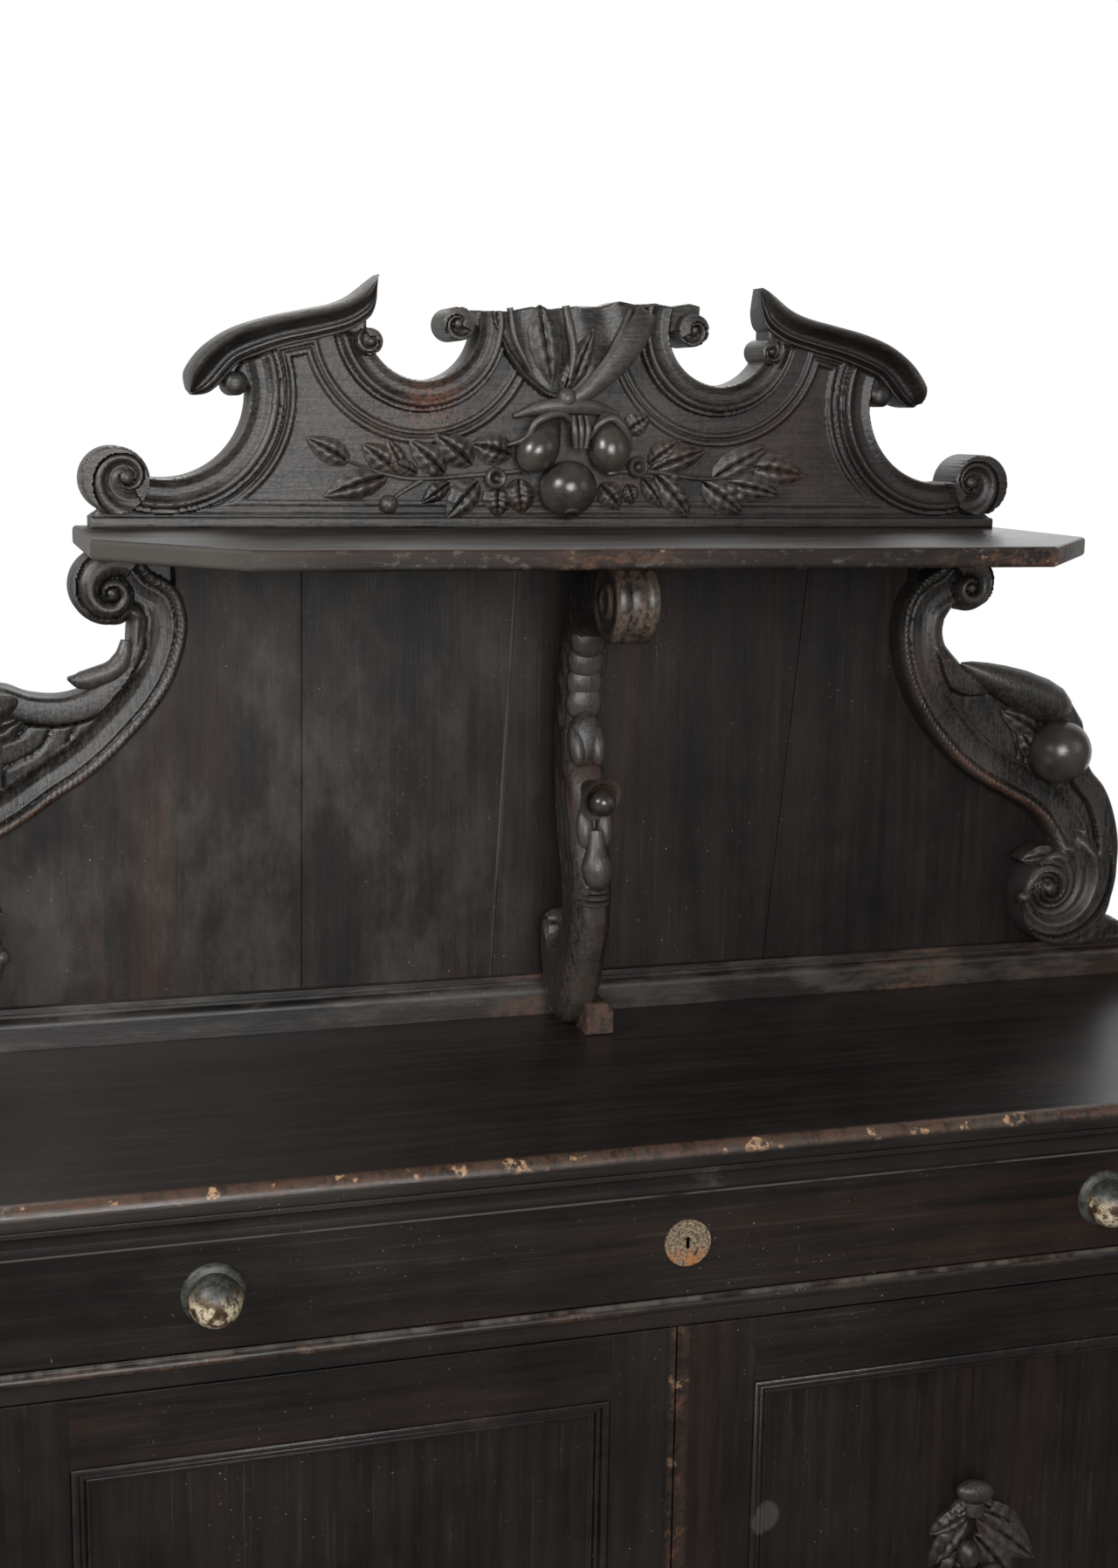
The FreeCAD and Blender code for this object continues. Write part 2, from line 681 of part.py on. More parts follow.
def keyhole_plate(x, z):
    """Round plate with a keyhole, planted on the front."""
    return disc_y(x, z, PLATE_RADIUS, Y_FRONT - PLATE_THICKNESS, Y_FRONT).cut(keyhole(x, z))


def keyhole(x, z):
    """Keyhole through a front: an upright slit."""
    half = KEYHOLE_WIDTH / 2
    rise = KEYHOLE_HEIGHT / 2
    y_rear = Y_FRONT + DOOR_THICKNESS
    return block(x - half, x + half, Y_FRONT - PLATE_THICKNESS, y_rear, z - rise, z + rise)


# Drawer: dovetailed box on a moulded front, with turned knobs and a lock
def build_drawer():
    half = X_IN - GAP
    bottom = Z_RAIL_TOP + GAP
    top = drawer_top()
    z_mid = (bottom + top) / 2
    y_rear_of_front = Y_FRONT + DRAWER_FRONT_THICKNESS
    y_end = Y_FRONT + DRAWER_LENGTH
    side_top = top - DRAWER_SIDE_DROP
    box_low = Z_RAIL_TOP + SLIDE_CLEARANCE
    side = block(half - DRAWER_SIDE_THICKNESS, half, y_rear_of_front, y_end, box_low, side_top)
    pitch = (side_top - bottom) / DOVETAILS
    for i in range(DOVETAILS):
        z = bottom + (i + 0.5) * pitch
        narrow = pitch * 0.28
        wide = narrow + DOVETAIL_SLOPE
        y_tip = y_rear_of_front - DOVETAIL_DEPTH
        points = [(y_tip, z - wide), (y_tip, z + wide), (y_rear_of_front, z + narrow)]
        tail = face_of((y_rear_of_front, z - narrow), points, in_yz(half - DRAWER_SIDE_THICKNESS))
        side = side.fuse(tail.extrude(vec(DRAWER_SIDE_THICKNESS, 0, 0)))
    side = side.removeSplitter()

    floor_low = box_low + DRAWER_BOTTOM_LIFT
    inner = half - DRAWER_SIDE_THICKNESS
    floor = block(
        -inner - GROOVE_DEPTH,
        inner + GROOVE_DEPTH,
        y_rear_of_front - GROOVE_DEPTH,
        y_end,
        floor_low,
        floor_low + DRAWER_BOTTOM_THICKNESS,
    )
    back = block(
        -inner,
        inner,
        y_end - DRAWER_SIDE_THICKNESS,
        y_end,
        floor_low + DRAWER_BOTTOM_THICKNESS,
        side_top,
    )
    side = side.cut(floor)
    front = block(-half, half, Y_FRONT, y_rear_of_front, bottom, top)
    case = block(
        -LOCK_CASE_LENGTH / 2,
        LOCK_CASE_LENGTH / 2,
        y_rear_of_front - LOCK_CASE_SUNK,
        y_rear_of_front - LOCK_CASE_SUNK + LOCK_CASE_THICKNESS,
        top - SLIDE_CLEARANCE - LOCK_CASE_HEIGHT,
        top - SLIDE_CLEARANCE,
    )
    way = lock_bolt_space(SLIDE_CLEARANCE)
    way = way.fuse(way.translated(vec(0, 0, LOCK_BOLT_THROW)))
    plate = keyhole_plate(0.0, z_mid)
    knob = turned_knob(KNOB_OFFSET, z_mid)
    for let_in in (side, mirrored(side), floor, case, keyhole(0.0, z_mid), way):
        front = front.cut(let_in)
    keep("drawer_front", front)
    keep("drawer_side_left", mirrored(side))
    keep("drawer_side_right", side)
    keep("drawer_back", back)
    keep("drawer_bottom", floor)
    keep("drawer_knobs", mirrored(knob), knob)
    keep("drawer_keyhole_plate", plate)
    keep("drawer_lock", case.cut(way))
    keep("drawer_lock_bolt", lock_bolt_space(0.0))


def turned_knob(x, z):
    """Ball knob on a flange, turned in one piece."""
    ball = KNOB_PROJECTION - KNOB_BALL_RADIUS
    waist = ball - math.sqrt(KNOB_BALL_RADIUS**2 - KNOB_NECK_RADIUS**2)
    profile = face_of(
        (0.0, 0.0),
        [
            (KNOB_FLANGE_RADIUS, 0.0),
            (KNOB_FLANGE_RADIUS, KNOB_FLANGE_HEIGHT * 0.4),
            (KNOB_FLANGE_RADIUS * 0.84, KNOB_FLANGE_HEIGHT),
            (KNOB_NECK_RADIUS, KNOB_FLANGE_HEIGHT),
            (KNOB_NECK_RADIUS, waist),
            ((KNOB_BALL_RADIUS, ball), (0.0, KNOB_PROJECTION)),
        ],
        lambda r, out: vec(x + r, Y_FRONT - out, z),
    )
    return profile.revolve(vec(x, 0, z), REAR, 360)


# Doors: framed panels with a planted moulding and a carved drop of fruit
def panel_moulding(x0, x1, z0, z1):
    """Four mitred lengths of bead-and-hollow moulding inside a door's frame."""
    high = DOOR_PANEL_SETBACK + MOULDING_PROUD
    bead = MOULDING_WIDTH * 0.34
    steps = [
        (0.0, high - bead / 3),
        ((bead / 2, high), (bead, high - bead / 3)),
        (bead, high * 0.62),
        (MOULDING_WIDTH * 0.5, high * 0.62),
        ((MOULDING_WIDTH * 0.72, high * 0.26), (MOULDING_WIDTH, high * 0.2)),
        (MOULDING_WIDTH, 0.0),
    ]
    wide = moulding((0.0, 0.0), steps, x1 - x0, True, True)
    tall = moulding((0.0, 0.0), steps, z1 - z0, True, True)
    y = Y_FRONT + DOOR_PANEL_SETBACK
    return [
        laid(wide, vec(x0, y, z0), RIGHT, UP, FRONT),
        laid(tall, vec(x1, y, z0), UP, LEFT, FRONT),
        laid(wide, vec(x1, y, z1), LEFT, DOWN, FRONT),
        laid(tall, vec(x0, y, z1), DOWN, RIGHT, FRONT),
    ]


def fruit_drop(x, z):
    """Carved drop on the panel: a bud on top, spreading leaves, two fruits and a tapering end."""
    y = Y_FRONT + DOOR_PANEL_SETBACK
    unit = DROP_HEIGHT / 2
    bodies = []
    for up, tall, wide in ((0.82, 0.18, 0.155), (0.27, 0.29, 0.18), (-0.33, 0.31, 0.22), (-0.82, 0.18, 0.1)):
        bodies.append(relief(x, z + up * unit, (0, 1), tall * unit, wide * unit, y, EGG))
    for side in (-1, 1):
        for out, up, fall in ((0.37, 0.42, -0.55), (0.46, -0.1, -1.2)):
            place = (x + side * out * unit, z + up * unit)
            bodies.append(relief(*place, (side, fall), 0.34 * unit, DROP_RELIEF / 2, y, LEAF))
    return bodies


def build_door(side, x0, x1, open0, open1, door_leaves, cut_outs):
    """One door between x0 and x1, with its panel opening between open0 and open1."""
    z0 = door_bottom()
    z1 = door_top()
    low = z0 + DOOR_RAIL
    high = z1 - DOOR_RAIL
    y_rear = Y_FRONT + DOOR_THICKNESS
    panel_y = Y_FRONT + DOOR_PANEL_SETBACK
    panel = block(
        open0 - GROOVE_DEPTH,
        open1 + GROOVE_DEPTH,
        panel_y,
        panel_y + DOOR_PANEL_THICKNESS,
        low - GROOVE_DEPTH,
        high + GROOVE_DEPTH,
    )
    rails = []
    for rail_low, rail_high in ((z0, low), (high, z1)):
        rail = block(open0, open1, Y_FRONT, y_rear, rail_low, rail_high)
        middle = (Y_FRONT + y_rear) / 2
        tenon = block(
            open0 - DOOR_TENON_LENGTH,
            open1 + DOOR_TENON_LENGTH,
            middle - TENON_THICKNESS / 2,
            middle + TENON_THICKNESS / 2,
            rail_low + 2 * TENON_SHOULDER,
            rail_high - 2 * TENON_SHOULDER,
        )
        rails.append(rail.fuse(tenon).cut(panel).removeSplitter())
    stiles = []
    for left, right in ((x0, open0), (open1, x1)):
        stile = block(left, right, Y_FRONT, y_rear, z0, z1)
        for let_in in rails + [panel] + door_leaves + cut_outs:
            stile = stile.cut(let_in)
        stiles.append(stile)
    keep(side + "_door_stiles", *stiles)
    keep(side + "_door_rails", *rails)
    keep(side + "_door_panel", panel)
    keep(side + "_door_moulding", *panel_moulding(open0, open1, low, high))
    keep(side + "_door_carving", *fruit_drop((open0 + open1) / 2, (low + high) / 2))
    keep(side + "_door_hinges", *door_leaves)


def build_doors(door_leaves):
    z_lock = door_lock_z()
    x_right = MEETING_LINE + GAP / 2
    x_left = MEETING_LINE - GAP / 2
    x_end = X_IN - GAP
    opening_end = x_end - HINGE_STILE
    y_rear = Y_FRONT + DOOR_THICKNESS

    y_case = y_rear - LOCK_CASE_SUNK - GAP
    case = block(
        x_right + SLIDE_CLEARANCE,
        x_right + SLIDE_CLEARANCE + LOCK_CASE_HEIGHT,
        y_case,
        y_case + LOCK_CASE_THICKNESS,
        z_lock - LOCK_CASE_LENGTH / 2,
        z_lock + LOCK_CASE_LENGTH / 2,
    )
    way = door_bolt_space(SLIDE_CLEARANCE)
    way = way.fuse(way.translated(vec(-LOCK_BOLT_THROW - GAP, 0, 0)))
    keep("right_door_lock", case.cut(way))
    keep("right_door_lock_bolt", door_bolt_space(0.0))
    key_x = x_right + LOCK_CASE_HEIGHT * 0.6
    cut_outs = [case, way, keyhole(key_x, z_lock)]
    build_door("right", x_right, x_end, PANEL_START, opening_end, door_leaves, cut_outs)

    keeper = door_bolt_space(GAP / 2).translated(vec(-LOCK_BOLT_THROW - GAP, 0, 0))
    left_leaves = [mirrored(leaf) for leaf in door_leaves]
    build_door("left", -x_end, x_left, -opening_end, -PANEL_START, left_leaves, [keeper])

    bolt = slide_bolt_space(0.0)
    limits = bolt.BoundBox
    bolt_x = limits.Center.x
    plate_half = BOLT_PLATE_WIDTH / 2
    y_plate = y_rear + BOLT_PLATE_THICKNESS
    plate_top = limits.ZMax - SLIDE_BOLT_THROW
    backing = block(bolt_x - plate_half, bolt_x + plate_half, y_rear, y_plate, limits.ZMin, plate_top)
    staple_half = SLIDE_BOLT_WIDTH / 2 + BOLT_STAPLE_WALL
    y_staple = limits.YMax + BOLT_STAPLE_WALL
    for share in (0.12, 0.72):
        level = limits.ZMin + SLIDE_BOLT_LENGTH * share
        top = level + BOLT_STAPLE_HEIGHT
        staple = block(bolt_x - staple_half, bolt_x + staple_half, y_rear, y_staple, level, top)
        backing = backing.fuse(staple)
    way = slide_bolt_space(SLIDE_CLEARANCE)
    way = way.fuse(way.translated(vec(0, 0, SLIDE_BOLT_THROW)))
    keep("left_door_bolt_plate", backing.cut(way).removeSplitter())
    thumb_half = SLIDE_BOLT_WIDTH / 4
    low = limits.ZMin + SLIDE_BOLT_LENGTH * 0.42
    top = low + 2 * thumb_half
    y_thumb = limits.YMax + 2 * SLIDE_BOLT_THICKNESS
    thumb = block(bolt_x - thumb_half, bolt_x + thumb_half, limits.YMax, y_thumb, low, top)
    keep("left_door_bolt", bolt.fuse(thumb).removeSplitter())


# Superstructure: boards, moulding and battens behind, wings, bracket and shelf
WING_INNER = [
    (440.0, 467.0),
    (460.0, 385.0),
    (512.0, 317.0),
    (590.0, 266.0),
    (648.0, 230.0),
    (670.0, 184.0),
]
WING_OUTER = [
    (766.0, 176.0),
    (752.0, 233.0),
    (714.0, 288.0),
    (700.0, 345.0),
    (642.0, 402.0),
    (560.0, 420.0),
    (512.0, 434.0),
    (499.0, 463.0),
    (504.0, 490.0),
]
WING_MIDDLE = [
    (704.0, 150.0),
    (692.0, 228.0),
    (620.0, 300.0),
    (530.0, 368.0),
    (480.0, 430.0),
    (470.0, 480.0),
]
WING_TOP_X = 448.0
WING_FOOT_X = 754.0
WING_VOLUTE_X = 533.0
WING_VOLUTE_RADIUS = 43.0
WING_SCROLL_X = 690.0
WING_SCROLL_RADIUS = 66.0
WING_FRUIT = (662.0, 309.0)
WING_FRUIT_RADIUS = 41.0


def above_worktop(points):
    """Outline points given by height above the worktop, stretched to the gallery's height."""
    drawn_at = 573.0
    rise = (Z_GALLERY_UNDER - Z_TOP) / drawn_at
    return [(x, Z_TOP + z * rise) for x, z in points]


def build_back():
    curve = above_worktop(WING_MIDDLE)
    z_base = Z_TOP + BASE_MOULDING_HEIGHT
    top = (WING_MIDDLE[-1][0], Z_GALLERY_UNDER)
    foot = (WING_SCROLL_X, z_base)
    base = BASE_HALF_LENGTH
    mirror = [(-x, z) for x, z in reversed(curve)]
    outline = face_of(
        (-base, Z_TOP),
        [
            (base, Z_TOP),
            (base, z_base),
            foot,
            curve + [top],
            (-top[0], top[1]),
            mirror + [(-foot[0], foot[1])],
            (-base, z_base),
        ],
        in_xz(Y_BOARD),
    )
    sheet = outline.extrude(vec(0, BACK_BOARD_THICKNESS, 0))
    lines = [(-base, -base), *BOARD_JOINTS, (base, base)]
    names = ("far_left", "left", "centre", "right")
    boards = []
    for name, (low0, high0), (low1, high1) in zip(names, lines, lines[1:]):
        gap = BOARD_GAP / 2
        strip = face_of(
            (low0 + gap, Z_TOP),
            [(low1 - gap, Z_TOP), (high1 - gap, Z_GALLERY_UNDER), (high0 + gap, Z_GALLERY_UNDER)],
            in_xz(Y_BOARD),
        ).extrude(vec(0, BACK_BOARD_THICKNESS, 0))
        board = sheet.common(strip)
        boards.append(board)
        keep("back_board_" + name, board)

    thick = BASE_MOULDING_THICKNESS
    high = BASE_MOULDING_HEIGHT
    hollow = thick * 0.4
    steps = [
        (0.0, high * 0.55),
        ((hollow * 0.3, high * 0.72), (hollow, high * 0.78)),
        (hollow, high * 0.86),
        (hollow * 1.3, high * 0.86),
        (hollow * 1.3, high),
        (thick, high),
        (thick, 0.0),
    ]
    strip = moulding((0.0, 0.0), steps, 2 * base, False, False)
    keep("back_base_moulding", laid(strip, vec(-base, Y_BOARD - thick, Z_TOP), RIGHT, REAR, UP))

    batten = block(
        BATTEN_OFFSET - BATTEN_WIDTH / 2,
        BATTEN_OFFSET + BATTEN_WIDTH / 2,
        Y_BOARD_BACK,
        Y_BACK,
        Z_TOP,
        Z_GALLERY_UNDER,
    )
    keep("rear_battens", mirrored(batten), batten)
    return boards


def build_wings(boards):
    y_front = Y_BOARD_BACK - WING_THICKNESS
    inner = above_worktop(WING_INNER)
    outer = above_worktop(WING_OUTER)
    z_volute = Z_GALLERY_UNDER - WING_VOLUTE_RADIUS
    z_scroll = Z_TOP + BASE_MOULDING_HEIGHT + WING_SCROLL_RADIUS
    blade = face_of(
        (WING_TOP_X, Z_GALLERY_UNDER),
        [
            inner,
            (WING_SCROLL_X, z_scroll),
            (WING_FOOT_X, z_scroll),
            outer,
            (WING_VOLUTE_X, z_volute),
            (WING_VOLUTE_X, Z_GALLERY_UNDER),
        ],
        in_xz(y_front),
    ).extrude(vec(0, WING_THICKNESS, 0))
    y_scroll = y_front - WING_SCROLL_RELIEF
    top = disc_y(WING_VOLUTE_X, z_volute, WING_VOLUTE_RADIUS, y_scroll, Y_BOARD_BACK)
    foot = disc_y(WING_SCROLL_X, z_scroll, WING_SCROLL_RADIUS, y_scroll, Y_BOARD_BACK)
    fruit_x, fruit_z = above_worktop([WING_FRUIT])[0]
    fruit = relief(fruit_x, fruit_z, (0, 1), WING_FRUIT_RADIUS, WING_FRUIT_RADIUS, y_front, EGG)
    wing = blade.multiFuse([top, foot, fruit])
    for board in boards:
        wing = wing.cut(board)
    wing = wing.removeSplitter()
    keep("side_wings", mirrored(wing), wing)


BRACKET_FRONT_LINE = [
    (150.0, 492.0),
    (106.0, 448.0),
    (99.0, 385.0),
    (134.0, 300.0),
    (158.0, 225.0),
    (160.0, 160.0),
    (142.0, 93.0),
    (120.0, 45.0),
    (76.0, 0.0),
]
BRACKET_REAR_LINE = [
    (28.0, 40.0),
    (10.0, 90.0),
    (24.0, 127.0),
    (44.0, 112.0),
    (66.0, 104.0),
    (86.0, 160.0),
    (66.0, 255.0),
    (54.0, 345.0),
    (68.0, 440.0),
    (130.0, 552.0),
]


BRACKET_FOOT_REACH = 52.0
BRACKET_TOP_REACH = 150.0
BRACKET_BLOCK_REACH = 124.0


def build_bracket():
    front = [(Y_BOARD - reach, z) for reach, z in above_worktop(BRACKET_FRONT_LINE)]
    rear = [(Y_BOARD - reach, z) for reach, z in above_worktop(BRACKET_REAR_LINE)]
    half = BRACKET_WIDTH / 2
    y_volute = Y_BOARD - BRACKET_REACH
    z_volute = Z_GALLERY_UNDER - BRACKET_VOLUTE_RADIUS
    stem = face_of(
        (y_volute, Z_GALLERY_UNDER),
        [
            (y_volute, z_volute),
            front,
            (Y_BOARD - BRACKET_FOOT_REACH, Z_TOP),
            rear,
            (Y_BOARD - BRACKET_TOP_REACH, Z_GALLERY_UNDER),
        ],
        in_yz(-half),
    ).extrude(vec(BRACKET_WIDTH, 0, 0))
    roll_end = vec(-BRACKET_VOLUTE_WIDTH / 2, y_volute, z_volute)
    roll = Part.makeCylinder(BRACKET_VOLUTE_RADIUS, BRACKET_VOLUTE_WIDTH, roll_end, RIGHT)
    size = BRACKET_BLOCK_HEIGHT
    y_block = Y_BOARD - BRACKET_BLOCK_REACH
    foot = face_of(
        (size * 0.1, Z_TOP),
        [
            (size, Z_TOP),
            (size, Z_TOP + size * 0.45),
            ((size * 0.86, Z_TOP + size * 0.86), (size * 0.45, Z_TOP + size)),
            (size * 0.1, Z_TOP + size),
        ],
        in_xz(y_block),
    ).extrude(vec(0, size * 1.4, 0))
    keep("bracket_foot_block", foot)
    keep("console_bracket", stem.fuse(roll).cut(foot).removeSplitter())


def build_gallery():
    half = GALLERY_HALF_LENGTH
    y_front = Y_BOARD - GALLERY_PROJECTION
    corners = [
        (half, Y_BOARD_BACK),
        (half, y_front + GALLERY_CUT_Y),
        (half - GALLERY_CUT_X, y_front),
        (GALLERY_CUT_X - half, y_front),
        (-half, y_front + GALLERY_CUT_Y),
    ]
    plan = face_of((-half, Y_BOARD_BACK), corners, in_xy(Z_GALLERY_UNDER))
    shelf = plan.extrude(vec(0, 0, GALLERY_THICKNESS))
    for level in (Z_GALLERY, Z_GALLERY_UNDER):
        shelf = shelf.makeFillet(GALLERY_EDGE_RADIUS, rim_edges(shelf, level, Y_BOARD_BACK))
    keep("gallery_shelf", shelf)


# Pediment: a sawn board with C-scroll bands round its bays, volutes, horn caps and applied fruit
BAY_CENTRE = (471.0, 150.0)
UPPER_BAY_CENTRE = (180.0, 232.0)
BIG_VOLUTE = (525.0, 53.0, 37.0)
SMALL_VOLUTE = (243.0, 208.0, 14.0)
CARTOUCHE_ROLL = (141.0, 229.0, 17.0)
BAY_LIP = (391.0, 160.0, 15.0)
CAP_TOP = [
    (431.0, 190.0),
    (394.0, 219.0),
    (340.0, 236.0),
    (283.0, 249.0),
    (232.0, 282.0),
]
CAP_UNDER = [
    (269.0, 232.0),
    (344.0, 212.0),
    (392.0, 191.0),
    (440.0, 148.0),
]
CAP_BEAD = [
    (400.0, 172.0),
    (382.0, 189.0),
    (345.0, 204.0),
    (271.0, 223.0),
    (252.0, 232.0),
]
CAP_BLUNT_END = (447.0, 158.0)
CAP_TIP = (231.0, 266.0)
CARTOUCHE_TOP_LEFT = 246.0
CARTOUCHE_TOP_RIGHT = 258.0
CARTOUCHE_FOOT = (40.0, 150.0)
CARTOUCHE_NECK = 125.0
BAND_ANGLES = (184.0, 286.0)
UPPER_BAND_ANGLES = (192.0, 328.0)


def on_gallery(points):
    """Pediment outline points, given by height above the gallery shelf."""
    return [(x, Z_GALLERY + z) for x, z in points]


def build_pediment():
    y_back = Y_BOARD
    y_face = Y_PEDIMENT
    bay = BAY_CENTRE[0], Z_GALLERY + BAY_CENTRE[1]
    upper = UPPER_BAY_CENTRE[0], Z_GALLERY + UPPER_BAY_CENTRE[1]
    big_x, big_z, big_r = BIG_VOLUTE
    plinth = PEDIMENT_PLINTH_HEIGHT
    bead = on_gallery(CAP_BEAD)
    outline = on_gallery(
        [
            (PEDIMENT_HALF_LENGTH, 0.0),
            (PEDIMENT_HALF_LENGTH, plinth),
            (big_x, big_z - big_r / 2),
            (big_x, big_z),
            (BAY_CENTRE[0], big_z + big_r / 10),
            BAY_CENTRE,
            (BAY_LIP[0], BAY_LIP[1]),
            CAP_BEAD[0],
        ]
    )
    outline.append(bead[1:])
    outline += on_gallery([UPPER_BAY_CENTRE, (0.0, UPPER_BAY_CENTRE[1])])
    half = face_of((0.0, Z_GALLERY), outline, in_xz(y_face)).extrude(vec(0, PEDIMENT_THICKNESS, 0))
    for (x, z), radius in ((bay, BAY_RADIUS), (upper, UPPER_BAY_RADIUS)):
        half = half.cut(disc_y(x, z, radius, y_face - 1.0, y_back + 1.0))
    ornaments = [
        ring(*bay, band_profile(BAY_RADIUS, BAY_BAND, BAND_RELIEF), y_face, *BAND_ANGLES),
        ring(*upper, band_profile(UPPER_BAY_RADIUS, UPPER_BAY_BAND, BAND_RELIEF), y_face, *UPPER_BAND_ANGLES),
        volute(big_x, Z_GALLERY + big_z, big_r, y_back, y_face - VOLUTE_RELIEF, -1),
    ]
    for x, z, radius in (SMALL_VOLUTE, CARTOUCHE_ROLL, BAY_LIP):
        ornaments.append(disc_y(x, Z_GALLERY + z, radius, y_face - BAND_RELIEF, y_back))
    half = half.multiFuse(ornaments)
    cap_solid = pediment_cap()
    half = half.cut(cap_solid)
    roll_x, roll_z, _ = CARTOUCHE_ROLL
    foot_x, foot_z = CARTOUCHE_FOOT
    cartouche = face_of(
        (-roll_x, Z_GALLERY + CARTOUCHE_TOP_LEFT),
        on_gallery(
            [
                (roll_x, CARTOUCHE_TOP_RIGHT),
                (roll_x, roll_z),
                (CARTOUCHE_NECK, roll_z),
                (foot_x, foot_z),
                (-foot_x, foot_z),
                (-CARTOUCHE_NECK, roll_z),
                (-roll_x, roll_z),
            ]
        ),
        in_xz(y_face - BAND_RELIEF),
    ).extrude(vec(0, PEDIMENT_THICKNESS + BAND_RELIEF, 0))
    foot = block(
        -PEDIMENT_HALF_LENGTH,
        PEDIMENT_HALF_LENGTH,
        y_face - PEDIMENT_PLINTH_PROUD,
        y_back,
        Z_GALLERY,
        Z_GALLERY + plinth,
    )
    board = half.multiFuse([mirrored(half), cartouche, foot]).removeSplitter()
    keep("pediment_board", board)
    keep("pediment_caps", mirrored(cap_solid), cap_solid)
    keep("pediment_swag", *pediment_swag())


def pediment_cap():
    """Right horn cap: a thick curved slab that runs out to a point, with a bead under its front."""
    top = on_gallery(CAP_TOP)
    under = on_gallery(CAP_UNDER)
    bead = on_gallery(CAP_BEAD)
    blunt, tip = on_gallery([CAP_BLUNT_END, CAP_TIP])
    y_front = Y_BOARD - CAP_DEPTH
    slab = face_of(blunt, [top, tip, under, blunt], in_xz(y_front)).extrude(vec(0, CAP_DEPTH, 0))
    y_bead = Y_BOARD - CAP_BEAD_DEPTH
    strip = face_of(bead[0], [bead[1:], top[3], top[1]], in_xz(y_bead)).extrude(vec(0, CAP_BEAD_DEPTH, 0))
    return slab.fuse(strip).removeSplitter()


def pediment_swag():
    """Applied carving: three fruits under a knot, with a spray of laurel to each side."""
    y = Y_PEDIMENT
    z = Z_GALLERY
    bodies = [
        relief(0.0, z + 46.0, (0, 1), 32.0, 30.0, y, EGG),
        relief(-44.0, z + 98.0, (-0.25, 1), 34.0, 25.0, y, EGG),
        relief(44.0, z + 98.0, (0.25, 1), 34.0, 25.0, y, EGG),
        relief(0.0, z + 131.0, (1, 0), 26.0, 14.0, y, EGG),
    ]
    for side in (-1, 1):
        bodies.append(relief(side * 186.0, z + 64.0, (side, 0), 104.0, 6.0, y, LEAF))
        for x, height, slope, length in LAUREL:
            bodies.append(relief(side * x, z + height, (side, slope), length, 10.0, y, LEAF))
    return bodies


LAUREL = (
    (112.0, 92.0, 0.6, 30.0),
    (120.0, 37.0, -0.6, 30.0),
    (170.0, 92.0, 0.6, 32.0),
    (178.0, 36.0, -0.6, 32.0),
    (228.0, 92.0, 0.5, 30.0),
    (236.0, 38.0, -0.5, 30.0),
)


build_stand()
hinge_levels = (door_bottom() + HINGE_FROM_END, door_top() - HINGE_FROM_END)
hinges = [hinge_parts(z) for z in hinge_levels]
fixed_leaves = [fixed for fixed, _ in hinges]
door_leaves = [leaf for _, leaf in hinges]
keep("hinge_leaves", *[piece for leaf in fixed_leaves for piece in (mirrored(leaf), leaf)])
build_carcass(fixed_leaves)
build_drawer()
build_doors(door_leaves)
back_boards = build_back()
build_wings(back_boards)
build_bracket()
build_gallery()
build_pediment()

os.makedirs("parts", exist_ok=True)
for name, shape in nodes.items():
    shape.exportStep("parts/" + name + ".step")
print(len(nodes), "nodes")
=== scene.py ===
# Looks of a carved, ebonised sideboard with a shelved superstructure, on a low stand.
# Metres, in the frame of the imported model: +Z is up and the front faces -Y.
import math

import bpy
import numpy as np
from mathutils import Matrix, Vector
from mathutils.geometry import tessellate_polygon


